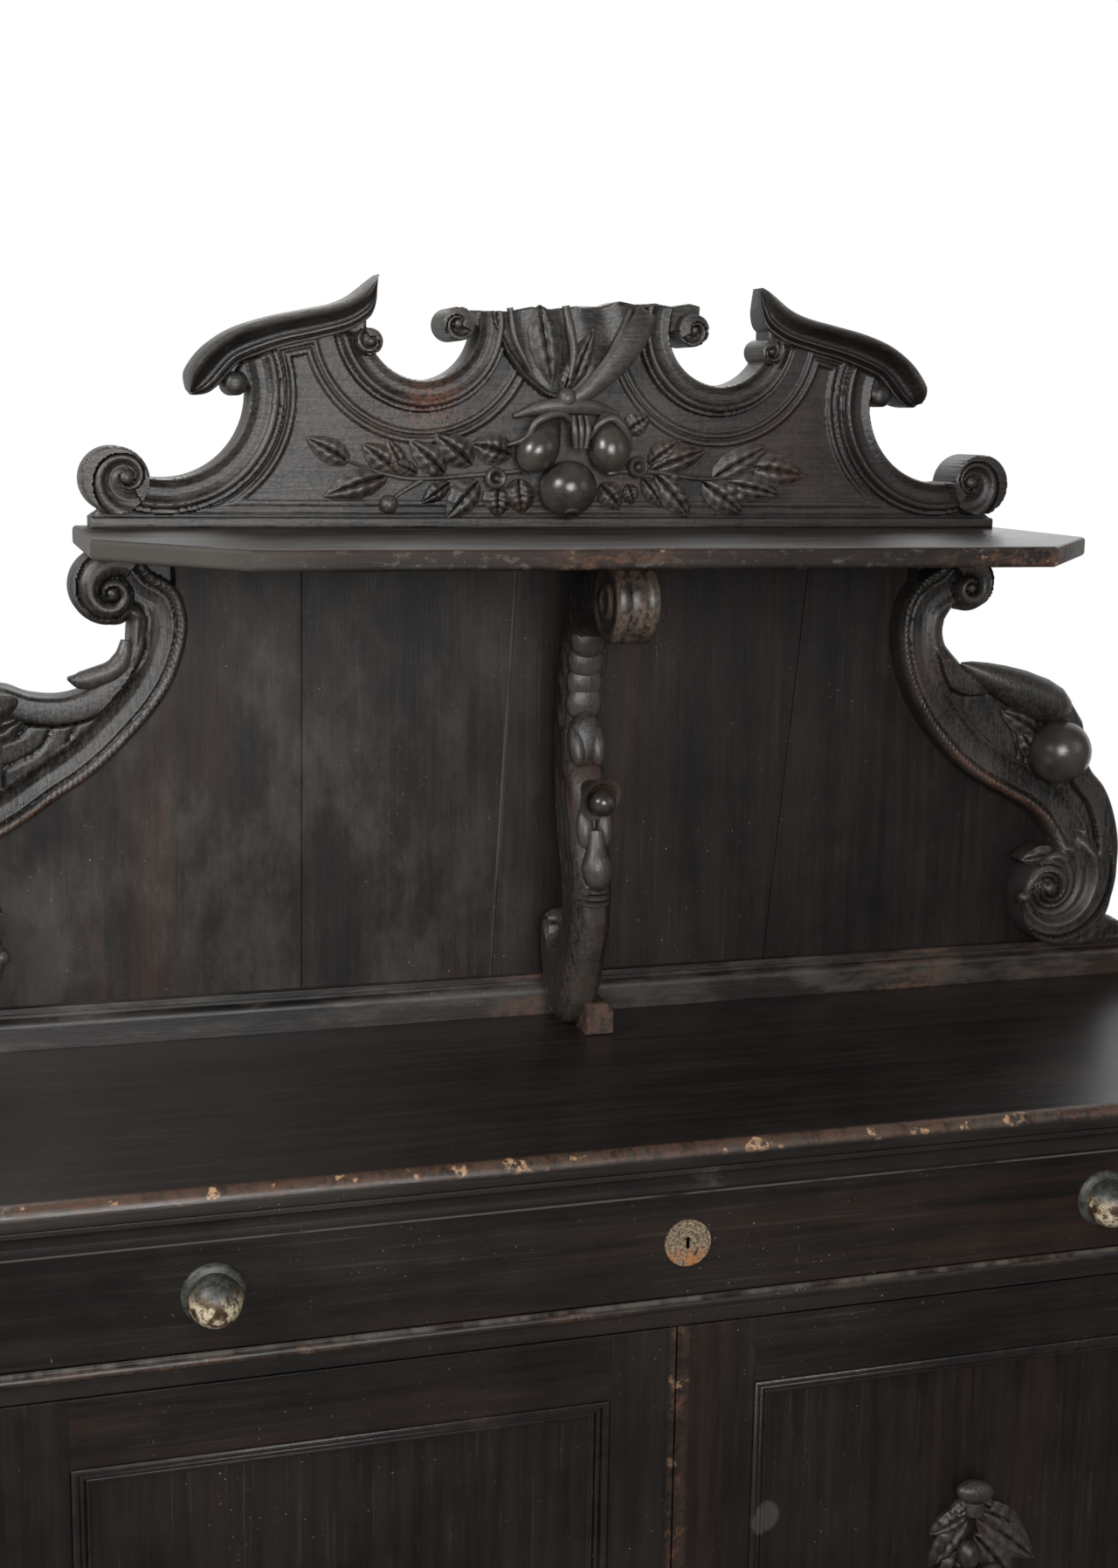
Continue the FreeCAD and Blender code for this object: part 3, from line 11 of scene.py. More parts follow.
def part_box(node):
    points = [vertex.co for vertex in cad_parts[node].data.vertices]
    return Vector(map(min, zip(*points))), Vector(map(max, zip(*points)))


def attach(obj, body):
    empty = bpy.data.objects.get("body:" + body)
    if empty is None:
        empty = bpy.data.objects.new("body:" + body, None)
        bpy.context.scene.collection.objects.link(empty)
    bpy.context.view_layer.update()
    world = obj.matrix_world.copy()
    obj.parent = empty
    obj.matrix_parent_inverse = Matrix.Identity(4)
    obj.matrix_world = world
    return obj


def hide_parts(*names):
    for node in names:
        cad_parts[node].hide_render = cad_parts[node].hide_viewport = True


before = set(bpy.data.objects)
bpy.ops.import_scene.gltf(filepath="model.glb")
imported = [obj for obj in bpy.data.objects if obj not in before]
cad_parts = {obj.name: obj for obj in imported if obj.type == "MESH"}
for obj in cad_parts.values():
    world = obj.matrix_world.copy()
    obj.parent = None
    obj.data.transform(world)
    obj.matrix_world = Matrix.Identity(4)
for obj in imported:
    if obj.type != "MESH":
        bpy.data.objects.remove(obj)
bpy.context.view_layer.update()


# The stand: moulded plinth rails, mitred at the front corners, on four tapered block feet.
# Softwood, stained black and polished like the rest, and scuffed brown where it meets brooms and shoes.
class Tone:
    """One output in a finish. Operators on it add Math nodes, and make() adds any other node."""

    def __init__(self, tree, socket):
        self.tree = tree
        self.socket = socket

    def make(self, kind, settings=None, sockets=None, out=0):
        """Output of a new node in the same finish, with its settings and inputs filled in."""
        node = self.tree.nodes.new(kind)
        for name, value in (settings or {}).items():
            setattr(node, name, value)
        for key, value in (sockets or {}).items():
            if isinstance(value, Tone):
                self.tree.links.new(value.socket, node.inputs[key])
            else:
                node.inputs[key].default_value = value
        return Tone(self.tree, node.outputs[out])

    def maths(self, operation, first, second):
        return self.make("ShaderNodeMath", {"operation": operation}, {0: first, 1: second})

    def __add__(self, other):
        return self.maths("ADD", self, other)

    __radd__ = __add__

    def __sub__(self, other):
        return self.maths("SUBTRACT", self, other)

    def __rsub__(self, other):
        return self.maths("SUBTRACT", other, self)

    def __mul__(self, other):
        return self.maths("MULTIPLY", self, other)

    __rmul__ = __mul__

    def __or__(self, other):
        return self.maths("MAXIMUM", self, other)

    def __abs__(self):
        return self.make("ShaderNodeMath", {"operation": "ABSOLUTE"}, {0: self})

    def rise(self, low, high):
        """0 below low and 1 above high, or the other way round where high is under low."""
        settings = {"interpolation_type": "SMOOTHSTEP"}
        if low < high:
            sockets = {"Value": self, "From Min": low, "From Max": high}
            return self.make("ShaderNodeMapRange", settings, sockets)
        return 1.0 - self.rise(high, low)

    def between(self, low, high, edge):
        """1 from low to high, fading out over edge on both sides."""
        return self.rise(low - edge, low + edge) * self.rise(high + edge, high - edge)

    def over(self, below, above):
        """Colour below where this is 0, colour above where this is 1."""
        return self.make("ShaderNodeMix", {"data_type": "RGBA"}, {0: self, 6: below, 7: above}, 2)

    def noise(self, stretch, scale, detail=4.0, roughness=0.6):
        """Noise over a place, drawn out along the directions in which stretch is small."""
        spread = self.make("ShaderNodeVectorMath", {"operation": "MULTIPLY"}, {0: self, 1: stretch})
        sockets = {"Vector": spread, "Scale": scale, "Detail": detail, "Roughness": roughness}
        return self.make("ShaderNodeTexNoise", None, sockets)

    def along(self, axis):
        """One coordinate of a place."""
        return self.make("ShaderNodeSeparateXYZ", None, {0: self}, "XYZ".index(axis))

    def away(self, middle):
        """Distance of a place from a point."""
        return self.make("ShaderNodeVectorMath", {"operation": "DISTANCE"}, {0: self, 1: middle}, "Value")

    def feed(self, shader, name):
        """Leads this into a shader's input."""
        self.tree.links.new(self.socket, shader.inputs[name])


def shade(red, green, blue):
    """Colour as seen, 0 to 255, in the shader's linear scale."""
    parts = [part / 255 for part in (red, green, blue)]
    return tuple(p / 12.92 if p <= 0.04045 else ((p + 0.055) / 1.055) ** 2.4 for p in parts) + (1.0,)


def new_finish(name):
    """Empty finish: its material, its shader and the place on the piece, in metres of the frame."""
    material = bpy.data.materials.new(name)
    material.use_nodes = True
    shader = material.node_tree.nodes["Principled BSDF"]
    place = material.node_tree.nodes.new("ShaderNodeTexCoord").outputs["Object"]
    return material, shader, Tone(material.node_tree, place)


def textured(shader, height, strength, depth, normal=None):
    """Fine relief from a height, depth metres at most, on top of a normal where one is given."""
    sockets = {"Strength": strength, "Distance": depth, "Height": height}
    if normal:
        sockets["Normal"] = normal
    height.make("ShaderNodeBump", None, sockets).feed(shader, "Normal")


GRAIN_UP = (1.0, 1.0, 0.05)
GRAIN_ACROSS = (0.05, 1.0, 1.0)
EVEN = (1.0, 1.0, 1.0)
BLACK = shade(13, 11, 10)
CHARCOAL = shade(36, 31, 28)
RUSSET = shade(62, 36, 27)
# Grey for dust and rubbed polish, also used for painted highlights and painted sheen.
DUST_AND_SHEEN_GREY = shade(92, 87, 80)
BARE = shade(80, 57, 44)
OCHRE = shade(172, 138, 106)


def ebonised(
    name,
    grain,
    worn=None,
    dust_and_sheen=None,
    dull=0.40,
    russet=0.45,
    edge=0.0022,
    sheen=0.5,
    chipped=1.0,
    gloss=None,
):
    """Black stain and polish over open grain, rubbed russet in patches.

    worn(place) marks bare wood. The grey mask marks dust in the grain and rubbed polish, and on some pieces
    a painted highlight or sheen. gloss(place) marks polish that is left, and chipped says how much of the
    bare wood's pale chips shows.
    """
    material, shader, place = new_finish(name)
    cloud = place.noise(EVEN, 4.0, 6.0, 0.68)
    figure = place.noise(grain, 60.0, 6.0, 0.68)
    pores = place.noise(grain, 420.0, 3.0, 0.7)
    tone = (cloud * 0.5 + figure * 0.5).rise(0.34, 0.66)
    colour = tone.over(BLACK, CHARCOAL)
    rubbed = place.noise(grain, 8.0, 5.0, 0.6).rise(0.48, 0.74) * figure.rise(0.35, 0.6) * russet
    colour = rubbed.over(colour, RUSSET)
    long_grain = tuple(0.4 * part if part < 1 else part for part in grain)
    lines = place.noise(long_grain, 230.0, 3.0, 0.6).rise(0.56, 0.72) * cloud.rise(0.4, 0.66)
    colour = (lines * 0.2).over(colour, DUST_AND_SHEEN_GREY)
    # The grey mask: dust and rubbing, and on some pieces a painted highlight or painted sheen.
    if dust_and_sheen:
        colour = dust_and_sheen(place).over(colour, DUST_AND_SHEEN_GREY)
    specks = place.noise(EVEN, 240.0, 2.0, 0.5).rise(0.72, 0.76) * cloud.rise(0.45, 0.6)
    colour = (specks * 0.7).over(colour, shade(136, 126, 112))
    rough = dull + cloud * 0.2 + pores * 0.08 - 0.12
    soft = place.make("ShaderNodeBevel", {"samples": 4}, {"Radius": edge})
    if worn:
        mask = worn(place)
        flecks = place.noise(EVEN, 120.0, 4.0, 0.7)
        colour = (mask * flecks.rise(0.3, 0.62)).over(colour, BARE)
        chips = place.noise(EVEN, 48.0, 2.0, 0.4).rise(0.62, 0.68) * flecks.rise(0.42, 0.56)
        colour = (mask * chips * chipped).over(colour, OCHRE)
        rough = rough + mask * 0.12
    if gloss:
        rough = rough - gloss(place) * 0.36
    shader.inputs["Specular IOR Level"].default_value = sheen
    colour.feed(shader, "Base Color")
    rough.feed(shader, "Roughness")
    textured(shader, figure * 0.8 + pores * 0.6, 0.4, 0.001, soft)
    return material


def dress(finish, *names):
    """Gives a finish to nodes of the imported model, which keep their shape."""
    for name in names:
        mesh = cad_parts[name].data
        mesh.materials.clear()
        mesh.materials.append(finish)


def foot_scuffs(place):
    """Wear towards the floor."""
    return place.along("Z").rise(0.1, 0.0) * 0.6


dress(ebonised("stand_black", GRAIN_ACROSS, foot_scuffs), "stand_rails")
dress(ebonised("foot_black", GRAIN_UP, foot_scuffs), "block_feet")


# The unseen softwood: glue blocks, runners, cupboard shelf, cleats, back boards and battens.
# Plain pine, sawn and left unpolished, gone brown with age and dust.
def old_pine(name, grain):
    """Bare pine along a grain, with growth rings, fibre and dark stains."""
    material, shader, place = new_finish(name)
    rings = place.noise(grain, 38.0, 4.0, 0.6)
    fibre = place.noise(grain, 300.0, 3.0, 0.7)
    colour = (rings * 0.7 + fibre * 0.3).rise(0.3, 0.7).over(shade(92, 62, 40), shade(146, 108, 74))
    stain = place.noise(EVEN, 6.0, 4.0, 0.6).rise(0.55, 0.75) * 0.6
    stain.over(colour, shade(62, 46, 34)).feed(shader, "Base Color")
    (0.72 + fibre * 0.15).feed(shader, "Roughness")
    textured(shader, rings * 0.5 + fibre, 0.35, 0.0008)
    return material


GRAIN_DEEP = (1.0, 0.05, 1.0)
PINE_UP = old_pine("pine_upright", GRAIN_UP)
PINE_ACROSS = old_pine("pine_across", GRAIN_ACROSS)
PINE_DEEP = old_pine("pine_deep", GRAIN_DEEP)
dress(PINE_UP, "stand_corner_blocks", "cabinet_back_boards", "rear_battens")
dress(PINE_ACROSS, "cupboard_shelf")
dress(PINE_DEEP, "shelf_cleats", "drawer_runners")


# The carcass: posts, rails and framed side panels, tenoned and grooved together and stained black.
# The bead on the drawer rail has caught knocks and shows wood, and the bed moulding has a pale smear.
def rail_knocks(place):
    """Knocks on the drawer rail's bead, which stands proud."""
    proud = place.along("Y").rise(-0.2405, -0.244)
    return proud * place.noise((0.3, 1.0, 1.0), 22.0, 3.0, 0.6).rise(0.5, 0.64) * 0.6


def bead_highlight(place):
    """Painted highlight: a pale line along the top of the drawer rail's bead."""
    line = place.along("Z").between(0.8225, 0.8265, 0.0008)
    return line * place.noise((1.0, 0.3, 0.3), 30.0, 4.0, 0.65).rise(0.35, 0.6) * 0.75


def bed_smudge(place):
    """Pale smear over the drawer's middle."""
    return place.along("X").between(0.0, 0.04, 0.015) * place.noise(EVEN, 60.0, 4.0, 0.6).rise(0.4, 0.6) * 0.3


dress(ebonised("post_black", GRAIN_UP), "front_posts", "rear_posts", "side_panels")
dress(ebonised("board_black", GRAIN_ACROSS), "bottom_board", "top_rails")
# The rail's finish has a painted highlight along the top of its bead.
RAIL_BLACK = ebonised("rail_black", GRAIN_ACROSS, rail_knocks, bead_highlight, dull=0.34, chipped=0.3)
dress(RAIL_BLACK, "drawer_rail")
dress(ebonised("bed_black", GRAIN_ACROSS, dust_and_sheen=bed_smudge), "bed_moulding")
dress(ebonised("side_rail_black", GRAIN_DEEP), "side_rails")


# The worktop: one wide board with a rounded nosing, polished more than the rest and so glossier.
# Hands and trays have worn its nosing through to brown wood, with pale chips here and there.
def nosing_edge(place):
    """The rounded front edge of the worktop."""
    return place.along("Y").rise(-0.2485, -0.2555) * place.along("Z").rise(0.9865, 0.9935)


def nosing_wear(place):
    """Bare wood along the nosing, in stretches."""
    return nosing_edge(place) * place.noise((1.0, 0.5, 0.5), 24.0, 6.0, 0.72).rise(0.32, 0.52) * 0.95


def worktop_rubbing_and_sheen(place):
    """Grey rubbing along the nosing and fine streaks, and a painted sheen that greys the left end."""
    rubbing = nosing_edge(place) * place.noise((0.7, 0.4, 0.4), 60.0, 6.0, 0.72).rise(0.42, 0.6) * 0.34
    streaks = place.noise((0.04, 1.0, 1.0), 110.0, 5.0, 0.75).rise(0.52, 0.7)
    # Painted sheen: the left end is made greyer.
    return rubbing | place.along("X").rise(-0.1, -0.7) * 0.17 + streaks * 0.15


WORKTOP_BLACK = ebonised("worktop_black", GRAIN_ACROSS, nosing_wear, worktop_rubbing_and_sheen, dull=0.30, russet=0.35)
dress(WORKTOP_BLACK, "worktop")


# Ironwork: pinned hinges, the drawer's and the door's locks, their bolts and the slide bolt's plate.
# Wrought and sawn iron, browned, with bright rubbed patches.
def browned_iron(name):
    """Iron with brown rust, bare metal between."""
    material, shader, place = new_finish(name)
    rust = place.noise(EVEN, 90.0, 5.0, 0.7)
    rust.rise(0.45, 0.65).over(shade(74, 70, 68), shade(84, 50, 32)).feed(shader, "Base Color")
    rust.rise(0.66, 0.5).feed(shader, "Metallic")
    (0.4 + rust * 0.4).feed(shader, "Roughness")
    textured(shader, rust, 0.3, 0.0005)
    return material


IRON = browned_iron("browned_iron")
dress(IRON, "hinge_leaves", "left_door_hinges", "right_door_hinges", "drawer_lock", "drawer_lock_bolt")
dress(IRON, "right_door_lock", "right_door_lock_bolt", "left_door_bolt_plate", "left_door_bolt")


# The drawer: a black front on a dovetailed box of pale wood, with a brass plate round the keyhole.
# The front's upper edge has a painted highlight along it, and the plate has lost most of its lacquer.
def drawer_edge_highlight(place):
    """Painted highlight: a pale line along the front's upper edge."""
    line = place.along("Z").between(0.9388, 0.9408, 0.0005)
    return line * place.noise((1.0, 0.3, 0.3), 9.0, 4.0, 0.6).rise(0.3, 0.5) * 0.9


FRONT_SHEEN = 0.28
# The drawer front carries a painted highlight along its upper edge.
dress(ebonised("drawer_black", GRAIN_ACROSS, dust_and_sheen=drawer_edge_highlight, sheen=FRONT_SHEEN), "drawer_front")
dress(PINE_DEEP, "drawer_side_left", "drawer_side_right", "drawer_bottom")
dress(PINE_ACROSS, "drawer_back")


def worn_brass(name):
    """Brass gone dull and spotted, orange where it has been rubbed low down."""
    material, shader, place = new_finish(name)
    mottle = place.noise(EVEN, 330.0, 5.0, 0.75)
    blotch = place.noise(EVEN, 70.0, 3.0, 0.6)
    low = place.along("Z").rise(0.887, 0.868)
    colour = mottle.rise(0.38, 0.62).over(shade(64, 54, 43), shade(156, 138, 112))
    colour = (low * blotch.rise(0.4, 0.54) * 0.75).over(colour, shade(168, 108, 58))
    colour = blotch.rise(0.58, 0.68).over(colour, shade(58, 48, 38))
    colour.feed(shader, "Base Color")
    (0.25 * mottle.rise(0.6, 0.4)).feed(shader, "Metallic")
    (0.45 + mottle * 0.25).feed(shader, "Roughness")
    textured(shader, mottle, 0.4, 0.0006)
    return material


dress(worn_brass("worn_brass"), "drawer_keyhole_plate")


# The drawer's knobs: turned in one with a domed flange, and fixed by a pin through the front.
# Hands have chipped the black off the lower half of each knob, down to cream and ochre.
MM = 0.001


def made(name, shells, finish, stands_for=None, crease=40, body="carcass"):
    """One piece from closed shells of points, in millimetres, and faces. It stands for a node."""
    points = []
    faces = []
    for shell_points, shell_faces in shells:
        faces += [[index + len(points) for index in face] for face in shell_faces]
        points += [tuple(float(c) * MM for c in point) for point in shell_points]
    mesh = bpy.data.meshes.new(name)
    mesh.from_pydata(points, [], faces)
    mesh.shade_smooth()
    mesh.set_sharp_from_angle(angle=math.radians(crease))
    mesh.materials.append(finish)
    piece = bpy.data.objects.new(name, mesh)
    bpy.context.scene.collection.objects.link(piece)
    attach(piece, body)
    if stands_for:
        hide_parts(stands_for)


def lofted(rings):
    """Closed shell through rings of equally many points."""
    count = len(rings[0])
    points = [tuple(point) for ring in rings for point in ring]
    faces = [list(range(count)), list(range(len(points) - 1, len(points) - count - 1, -1))]
    for row in range(len(rings) - 1):
        for place in range(count):
            a = row * count + place
            b = row * count + (place + 1) % count
            faces.append([b, a, a + count, b + count])
    return points, faces


def turned(profile, centre, axis, sides=32):
    """Shell turned from a profile of (along, radius), about an axis through a centre."""
    axis = np.asarray(axis, float) / np.linalg.norm(axis)
    helper = np.array((0.0, 0.0, 1.0)) if abs(axis[2]) < 0.9 else np.array((1.0, 0.0, 0.0))
    first = np.cross(axis, helper)
    first = first / np.linalg.norm(first)
    second = np.cross(axis, first)
    turn = np.linspace(0.0, 2 * math.pi, sides, endpoint=False)[:, None]
    spokes = np.cos(turn) * first + np.sin(turn) * second
    rings = [np.asarray(centre) + along * axis + radius * spokes for along, radius in profile]
    return lofted(rings[::-1])


KNOB_SIDE = 487.0
KNOB_HEIGHT = 886.5
DRAWER_FACE = -240.0
KNOB_SEAT = 0.2
KNOB_FACETS = 44
OUTWARD = (0, -1, 0)
KNOB_PROFILE = [
    (0, 4), (0, 30.5), (0.8, 31.8), (2.6, 32), (4.6, 30.8), (6.2, 28.4), (7, 25.6), (7.6, 24.2),
    (8.6, 24.2), (11, 25.1), (14.5, 25.8), (18, 26), (22, 25.7), (27, 24.4), (32, 21.9), (36.5, 18.3),
    (40, 13.9), (42.4, 8.8), (43.7, 4), (44, 0.6),
]


def knob_finish():
    """Dark polish, chipped to ochre and cream on the lower half of the ball."""
    material, shader, place = new_finish("knob_worn")
    mottle = place.noise(EVEN, 150.0, 5.0, 0.7)
    blotch = place.noise(EVEN, 64.0, 4.0, 0.6)
    colour = mottle.rise(0.35, 0.65).over(shade(32, 33, 31), shade(66, 66, 60))
    ball = place.along("Y").rise(-0.247, -0.252)
    low = (place.along("Z") + blotch * 0.03).rise(0.918, 0.898)
    colour = (ball * low * mottle.rise(0.36, 0.5)).over(colour, shade(124, 106, 78))
    colour = (ball * low * blotch.rise(0.44, 0.54) * mottle.rise(0.4, 0.5)).over(colour, shade(204, 190, 162))
    colour = (ball * low * blotch.rise(0.47, 0.41)).over(colour, shade(60, 43, 29))
    colour.feed(shader, "Base Color")
    (0.3 + mottle * 0.3).feed(shader, "Roughness")
    textured(shader, mottle, 0.4, 0.0008)
    return material


knobs = []
for across in (-KNOB_SIDE, KNOB_SIDE):
    knobs.append(turned(KNOB_PROFILE, (across, DRAWER_FACE + KNOB_SEAT, KNOB_HEIGHT), OUTWARD, KNOB_FACETS))
made("drawer_knobs_turned", knobs, knob_finish(), "drawer_knobs", body="drawer")


# The doors: framed panels, stiles with upright and rails with level grain, all stained black.
# The meeting edges are knocked down to brown wood, with pale chips.
def meeting_knocks(place):
    """Bare wood where the two doors meet, knocked in places and rubbed all along."""
    across = place.along("X")
    knocks = place.noise((0.4, 0.4, 1.0), 18.0, 4.0, 0.6)
    edge = across.between(-0.014, 0.001, 0.003) * knocks.rise(0.44, 0.58)
    return edge | across.between(-0.016, 0.006, 0.003) * knocks.rise(0.3, 0.5) * 0.4


MARK_PLACE = (0.100, -0.234, 0.559)


def panel_mark(place):
    """Round rubbed mark near the right panel's upper left corner, and faint streaks."""
    mark = place.away(MARK_PLACE).rise(0.021, 0.016)
    streaks = place.noise((1.0, 1.0, 0.05), 130.0, 5.0, 0.75).rise(0.54, 0.74)
    patches = place.noise(EVEN, 7.0, 4.0, 0.6).rise(0.4, 0.62)
    return mark * 0.5 | streaks * patches * 0.24


STILE_BLACK = ebonised("stile_black", GRAIN_UP, meeting_knocks, dull=0.46, sheen=FRONT_SHEEN)
PANEL_BLACK = ebonised("panel_black", GRAIN_UP, dust_and_sheen=panel_mark, sheen=FRONT_SHEEN)
DOOR_RAIL_BLACK = ebonised("door_rail_black", GRAIN_ACROSS, sheen=FRONT_SHEEN)
for side in ("left", "right"):
    dress(STILE_BLACK, side + "_door_stiles")
    dress(DOOR_RAIL_BLACK, side + "_door_rails")
    dress(PANEL_BLACK, side + "_door_panel")


# The door mouldings: three reeds, run on a strip, mitred at the corners and planted round each panel.
# Stained with the doors, and a little glossier.
REED_AT = (4.4, 11.2, 16.9)
REED_RADIUS = (4.2, 2.9, 2.4)
REED_CREST = (-241.5, -237.2, -234.4)
MOULDING_WIDTH = 21.0
MOULDING_SINK = 1.0
MOULDING_OUTER = 9.0
MOULDING_INNER = 1.0
PANEL_FACE = -230.0


def reeded_frame(low, high):
    """Shell of the moulding round a panel, between its outer corners (x, z)."""
    section = [(0.0, PANEL_FACE + MOULDING_SINK), (0.0, PANEL_FACE - MOULDING_OUTER)]
    for middle, radius, crest in zip(REED_AT, REED_RADIUS, REED_CREST):
        for turn in np.linspace(0.0, math.pi, 7):
            section.append((middle - radius * math.cos(turn), crest + radius * (1.0 - math.sin(turn))))
    section += [(MOULDING_WIDTH, PANEL_FACE - MOULDING_INNER), (MOULDING_WIDTH, PANEL_FACE + MOULDING_SINK)]
    points = []
    for inset, y in section:
        points += [(low[0] + inset, y, low[1] + inset), (high[0] - inset, y, low[1] + inset)]
        points += [(high[0] - inset, y, high[1] - inset), (low[0] + inset, y, high[1] - inset)]
    count = len(section)
    faces = []
    for row in range(count):
        for side in range(4):
            a = row * 4 + side
            b = row * 4 + (side + 1) % 4
            c = ((row + 1) % count) * 4 + (side + 1) % 4
            d = ((row + 1) % count) * 4 + side
            faces.append([a, b, c, d])
    return points, faces


REED_BLACK = ebonised("reed_black", EVEN, dust_and_sheen=panel_mark, dull=0.33, russet=0.5, edge=0.0008)
REED_CREASE = 30
for side in ("left", "right"):
    low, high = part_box(side + "_door_moulding")
    reeds = reeded_frame((low[0] / MM, low[2] / MM), (high[0] / MM, high[2] / MM))
    made(side + "_door_reeds", [reeds], REED_BLACK, side + "_door_moulding", REED_CREASE, side + "_door")


# The fruit drops: hanging bunches of leaves and fruit, one in the middle of each door's panel.
# Each is carved apart from one block, stained and glued on.
def shaped(centre, ahead, across, out, grid):
    """Points of a grid of (along, sideways, outward) amounts, set out from a centre on three directions."""
    frame_of = np.array([ahead, across, out])
    return np.asarray(centre) + grid @ frame_of


def leaf(root, tip, width, swell, sink, curl, veins, ground):
    """Solid leaf lying on the ground from root to tip, (x, h), with a midrib groove and side veins.

    swell is its height, sink how far it reaches into the ground, and curl how far its tip bends aside.
    """
    root = np.array((root[0], ground, root[1]))
    tip = np.array((tip[0], ground, tip[1]))
    length = np.linalg.norm(tip - root)
    ahead = (tip - root) / length
    out = np.array((0.0, -1.0, 0.0))
    across = np.cross(out, ahead)
    rows = 25
    columns = 13
    lift = 1.0
    u, v = np.meshgrid(np.linspace(0.0, 1.0, rows), np.linspace(-1.0, 1.0, columns), indexing="ij")
    cut = 1.0 + 0.04 * np.cos(2 * math.pi * (u * veins - 0.5))
    half = width / 2 * np.maximum(np.sin(math.pi * u**0.8) ** 0.75, 0.06) * cut
    ripple = 0.06 * np.cos(2 * math.pi * (u * veins - 0.5 * np.abs(v)))
    rise = swell * (np.sin(math.pi * (0.1 + 0.82 * u)) * (1.0 - 0.55 * v**2) * (1 + ripple))
    rise = rise - 0.45 * swell * np.exp(-((v / 0.16) ** 2)) * (1.0 - u**4) + lift
    bend = curl * length * u**2
    top = np.stack([u * length, v * half + bend, rise], -1).reshape(-1, 3)
    low = np.stack([u * length, v * half * 0.9 + bend, np.full(u.shape, -sink)], -1).reshape(-1, 3)
    points = np.vstack([shaped(root, ahead, across, out, top), shaped(root, ahead, across, out, low)])
    count = rows * columns
    faces = []
    for row in range(rows - 1):
        for column in range(columns - 1):
            a = row * columns + column
            quad = [a, a + columns, a + columns + 1, a + 1]
            faces.append(quad)
            faces.append([index + count for index in reversed(quad)])
    ring = list(range(columns)) + [row * columns + columns - 1 for row in range(1, rows)]
    ring += [(rows - 1) * columns + column for column in range(columns - 2, -1, -1)]
    ring += [row * columns for row in range(rows - 2, 0, -1)]
    for a, b in zip(ring, ring[1:] + ring[:1]):
        faces.append([a, b, b + count, a + count])
    return points.tolist(), faces


def globe(radius, along=1.0, steps=14, blunt=0.04):
    """Profile of a ball, or of an egg where along is over 1."""
    turn = np.linspace(-1.0, 1.0, steps) * math.pi / 2
    return [(radius * along * math.sin(t), max(radius * math.cos(t), radius * blunt)) for t in turn]


def carved_black(name, worn=None, tint=0.0, grain=GRAIN_UP, bare=shade(116, 72, 52), shaded=None):
    """Black stain over carving: grey on the crests, partly a painted highlight, painted shade in the hollows,
    darker sideways faces, tool marks.

    worn(place) marks wood of the bare colour, shaded(place) painted shade, and tint adds brown patches.
    """
    material, shader, place = new_finish(name)
    cloud = place.noise(EVEN, 9.0, 5.0, 0.65)
    tooling = place.noise(EVEN, 190.0, 4.0, 0.65)
    strokes = place.noise(grain, 330.0, 4.0, 0.7)
    crest = place.make("ShaderNodeNewGeometry", None, None, "Pointiness")
    # Grey on the crests: rubbed polish, and in part a painted highlight.
    rubbed = crest.rise(0.5, 0.56) * cloud.rise(0.25, 0.6)
    tone = (cloud * 0.35 + tooling * 0.25 + strokes * 0.4).rise(0.41, 0.59)
    colour = tone.over(shade(10, 9, 8), shade(60, 55, 51))
    colour = (rubbed * 0.6).over(colour, shade(84, 79, 74))
    # Painted shade: the hollows of the carving are darkened.
    colour = crest.rise(0.49, 0.44).over(colour, shade(12, 11, 10))
    warm = place.noise(EVEN, 6.0, 4.0, 0.6).rise(0.52 - tint, 0.74 - tint) * tooling.rise(0.3, 0.6) * 0.55
    colour = warm.over(colour, shade(74, 46, 34))
    rough = 0.3 + cloud * 0.2 - rubbed * 0.06
    if worn:
        mask = worn(place) * tooling.rise(0.36, 0.6)
        colour = mask.over(colour, bare)
    # Painted shade where shaded(place) marks it.
    if shaded:
        colour = shaded(place).over(colour, shade(18, 12, 10))
    # Faces turned sideways are darker and duller: end grain that takes more stain, and painted shade.
    facing = place.make("ShaderNodeNewGeometry", None, None, "True Normal").along("Y")
    sawn_and_shaded = abs(facing).rise(0.45, 0.1)
    colour = (sawn_and_shaded * 0.6).over(colour, shade(13, 12, 11))
    rough = rough + sawn_and_shaded * 0.2
    colour.feed(shader, "Base Color")
    rough.feed(shader, "Roughness")
    textured(shader, tooling * 0.8 + strokes * 0.9, 0.5, 0.0012)
    return material


DROP_MIDDLE = 353.0
DROP_NUT = (-3.0, 9.0, 556.0)
COLLAR_AT = (-2.0, 6.0, 536.0)
COLLAR = [(-9, 3), (-8, 11), (0, 13), (8, 11), (9, 3)]
LARGE_LEAVES = [
    (4, 522, 84, 466, 40), (-8, 522, -56, 474, 36), (2, 500, 58, 440, 34), (-8, 498, -44, 436, 32),
]
SMALL_LEAVES = [
    (0, 542, 30, 529, 19), (-4, 541, -34, 529, 19), (2, 534, 68, 503, 30), (-6, 532, -55, 512, 28),
]
TAIL_LEAVES = [(10, 420, 46, 402, 26), (-10, 420, -46, 402, 26), (0, 398, 0, 354, 24)]
DROP_FRUIT = [
    (-10, 13, 484, 14.0, 1.2, 0.0, 24), (-17, 12, 446, 19.0, 1.25, -0.4, 28),
    (17, 12, 446, 19.0, 1.25, 0.4, 28), (0, 13, 408, 21.0, 1.0, 0.0, 30),
]
DROP_SWELL = 12.0
DROP_SINK = 3.0
DROP_CURL = 0.08
LEAF_VEINS = 5


